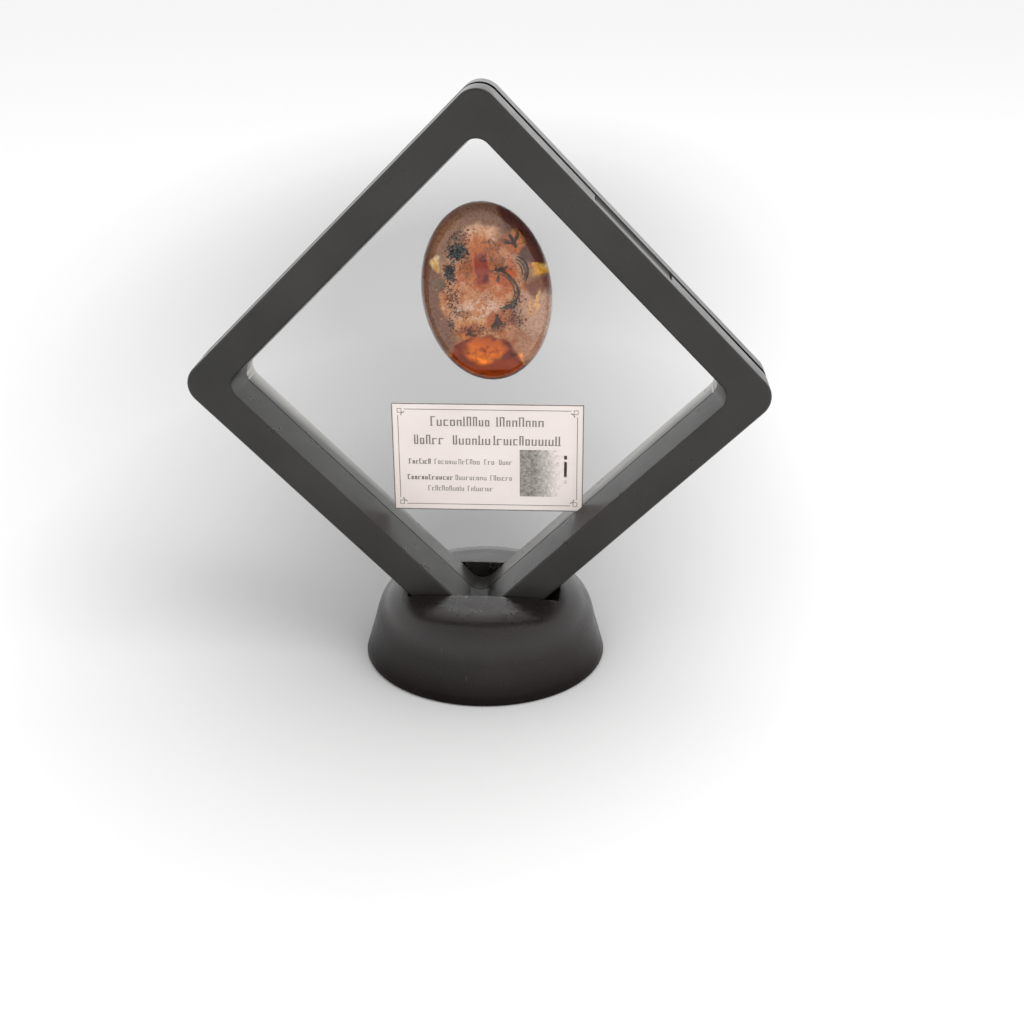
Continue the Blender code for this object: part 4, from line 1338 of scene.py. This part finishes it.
CAMERA_AT = Vector((27.6 * MM, -360.5 * MM, CENTRE_Z + 119.5 * MM))
CAMERA_YAW, CAMERA_PITCH, CAMERA_ROLL = (math.radians(a) for a in (-2.98, 23.53, 0.44))
SENSOR = 36.0
FOCAL_PX = 1441.0
PHOTO_PX = 1024.0


def camera():
    """The camera at the photograph's place and angle."""
    data = bpy.data.cameras.new("camera")
    data.sensor_width = SENSOR
    data.lens = FOCAL_PX / PHOTO_PX * SENSOR
    data.clip_start = 0.01
    ob = bpy.data.objects.new("camera", data)
    bpy.context.scene.collection.objects.link(ob)
    ahead = Vector((
        math.sin(CAMERA_YAW) * math.cos(CAMERA_PITCH), math.cos(CAMERA_YAW) * math.cos(CAMERA_PITCH),
        -math.sin(CAMERA_PITCH),
    ))
    right = Vector((math.cos(CAMERA_YAW), -math.sin(CAMERA_YAW), 0.0))
    up = right.cross(ahead)
    side = right * math.cos(CAMERA_ROLL) + up * math.sin(CAMERA_ROLL)
    top = up * math.cos(CAMERA_ROLL) - right * math.sin(CAMERA_ROLL)
    turn = Matrix((side, top, -ahead)).transposed().to_4x4()
    ob.matrix_world = Matrix.Translation(CAMERA_AT) @ turn
    bpy.context.scene.camera = ob


SOFTBOX_SIZE = 0.8


def softbox(name, at, aim, power):
    """A soft square light that faces a point and isn't mirrored in the object."""
    data = bpy.data.lights.new(name, "AREA")
    data.shape = "SQUARE"
    data.size = SOFTBOX_SIZE
    data.energy = power
    ob = bpy.data.objects.new(name, data)
    bpy.context.scene.collection.objects.link(ob)
    ob.location = at
    ob.rotation_euler = (Vector(aim) - Vector(at)).to_track_quat("-Z", "Y").to_euler()
    ob.visible_glossy = False


FLOOR_R = 6.0
WORLD_STRENGTH = 1.5


def studio():
    """Floor, world and soft lights."""
    bm = bmesh.new()
    bmesh.ops.create_circle(bm, cap_ends=True, segments=96, radius=FLOOR_R)
    floor = new_object("floor", bm, pale_floor("pale_floor"))
    bpy.context.scene.view_settings.view_transform = "Standard"
    world = bpy.data.worlds.new("studio")
    bpy.context.scene.world = world
    world.use_nodes = True
    nodes, links = world.node_tree.nodes, world.node_tree.links
    coords = nodes.new("ShaderNodeTexCoord")
    parts = nodes.new("ShaderNodeSeparateXYZ")
    links.new(coords.outputs["Generated"], parts.inputs[0])
    tent = ramp_on(nodes, links, parts.outputs["Z"], ((0.0, 1.0), (0.3, 0.9), (1.0, 0.5)))
    links.new(tent.outputs[0], nodes["Background"].inputs["Color"])
    nodes["Background"].inputs["Strength"].default_value = WORLD_STRENGTH
    softbox("softbox_right", (0.55, -0.35, 0.95), (0.0, 0.05, 0.05), 6.0)
    softbox("softbox_front", (-0.25, -1.0, 0.55), (0.0, 0.0, 0.09), 3.0)


def main():
    """Makes every piece."""
    camera()
    studio()
    frame_black = satin_black("frame_black", (0.013, 0.012, 0.011), (0.26, 0.38), 0.1, 0.36)
    stand_black = satin_black("stand_black", (0.0075, 0.0055, 0.005), (0.22, 0.36), 0.03, STAND_GLOSS)
    film_mat = clear_film("clear_film")
    chitin = speckle("chitin", (0.02, 0.016, 0.012), (0.09, 0.08, 0.065), 1500.0, 0.45)
    wing_skin = wing_film("wing_film")
    pieces = [
        (frame_front(frame_black), "satin_black"),
        (frame_back(frame_black), "satin_black"),
        (stand_body(stand_black), "satin_black"),
        (amber_stone(amber_body("amber")), "amber"),
        (film("front_film", -1, film_mat, "film_front"), "clear_film"),
        (film("back_film", 1, film_mat, "film_back"), "clear_film"),
    ]
    pieces += insects(chitin, wing_skin, chitin)
    pieces += [(ob, "amber") for ob in inclusions()]
    ink = printed_ink("ink", (0.12, 0.1, 0.085))
    pieces += [(ob, "card_paper") for ob in card_print(ink, grey_panel("picture_ink"))]
    for ob, slot in pieces:
        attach(ob, "root")
    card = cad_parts["label_card"]
    card.data.materials.clear()
    card.data.materials.append(card_paper("card_paper"))


main()
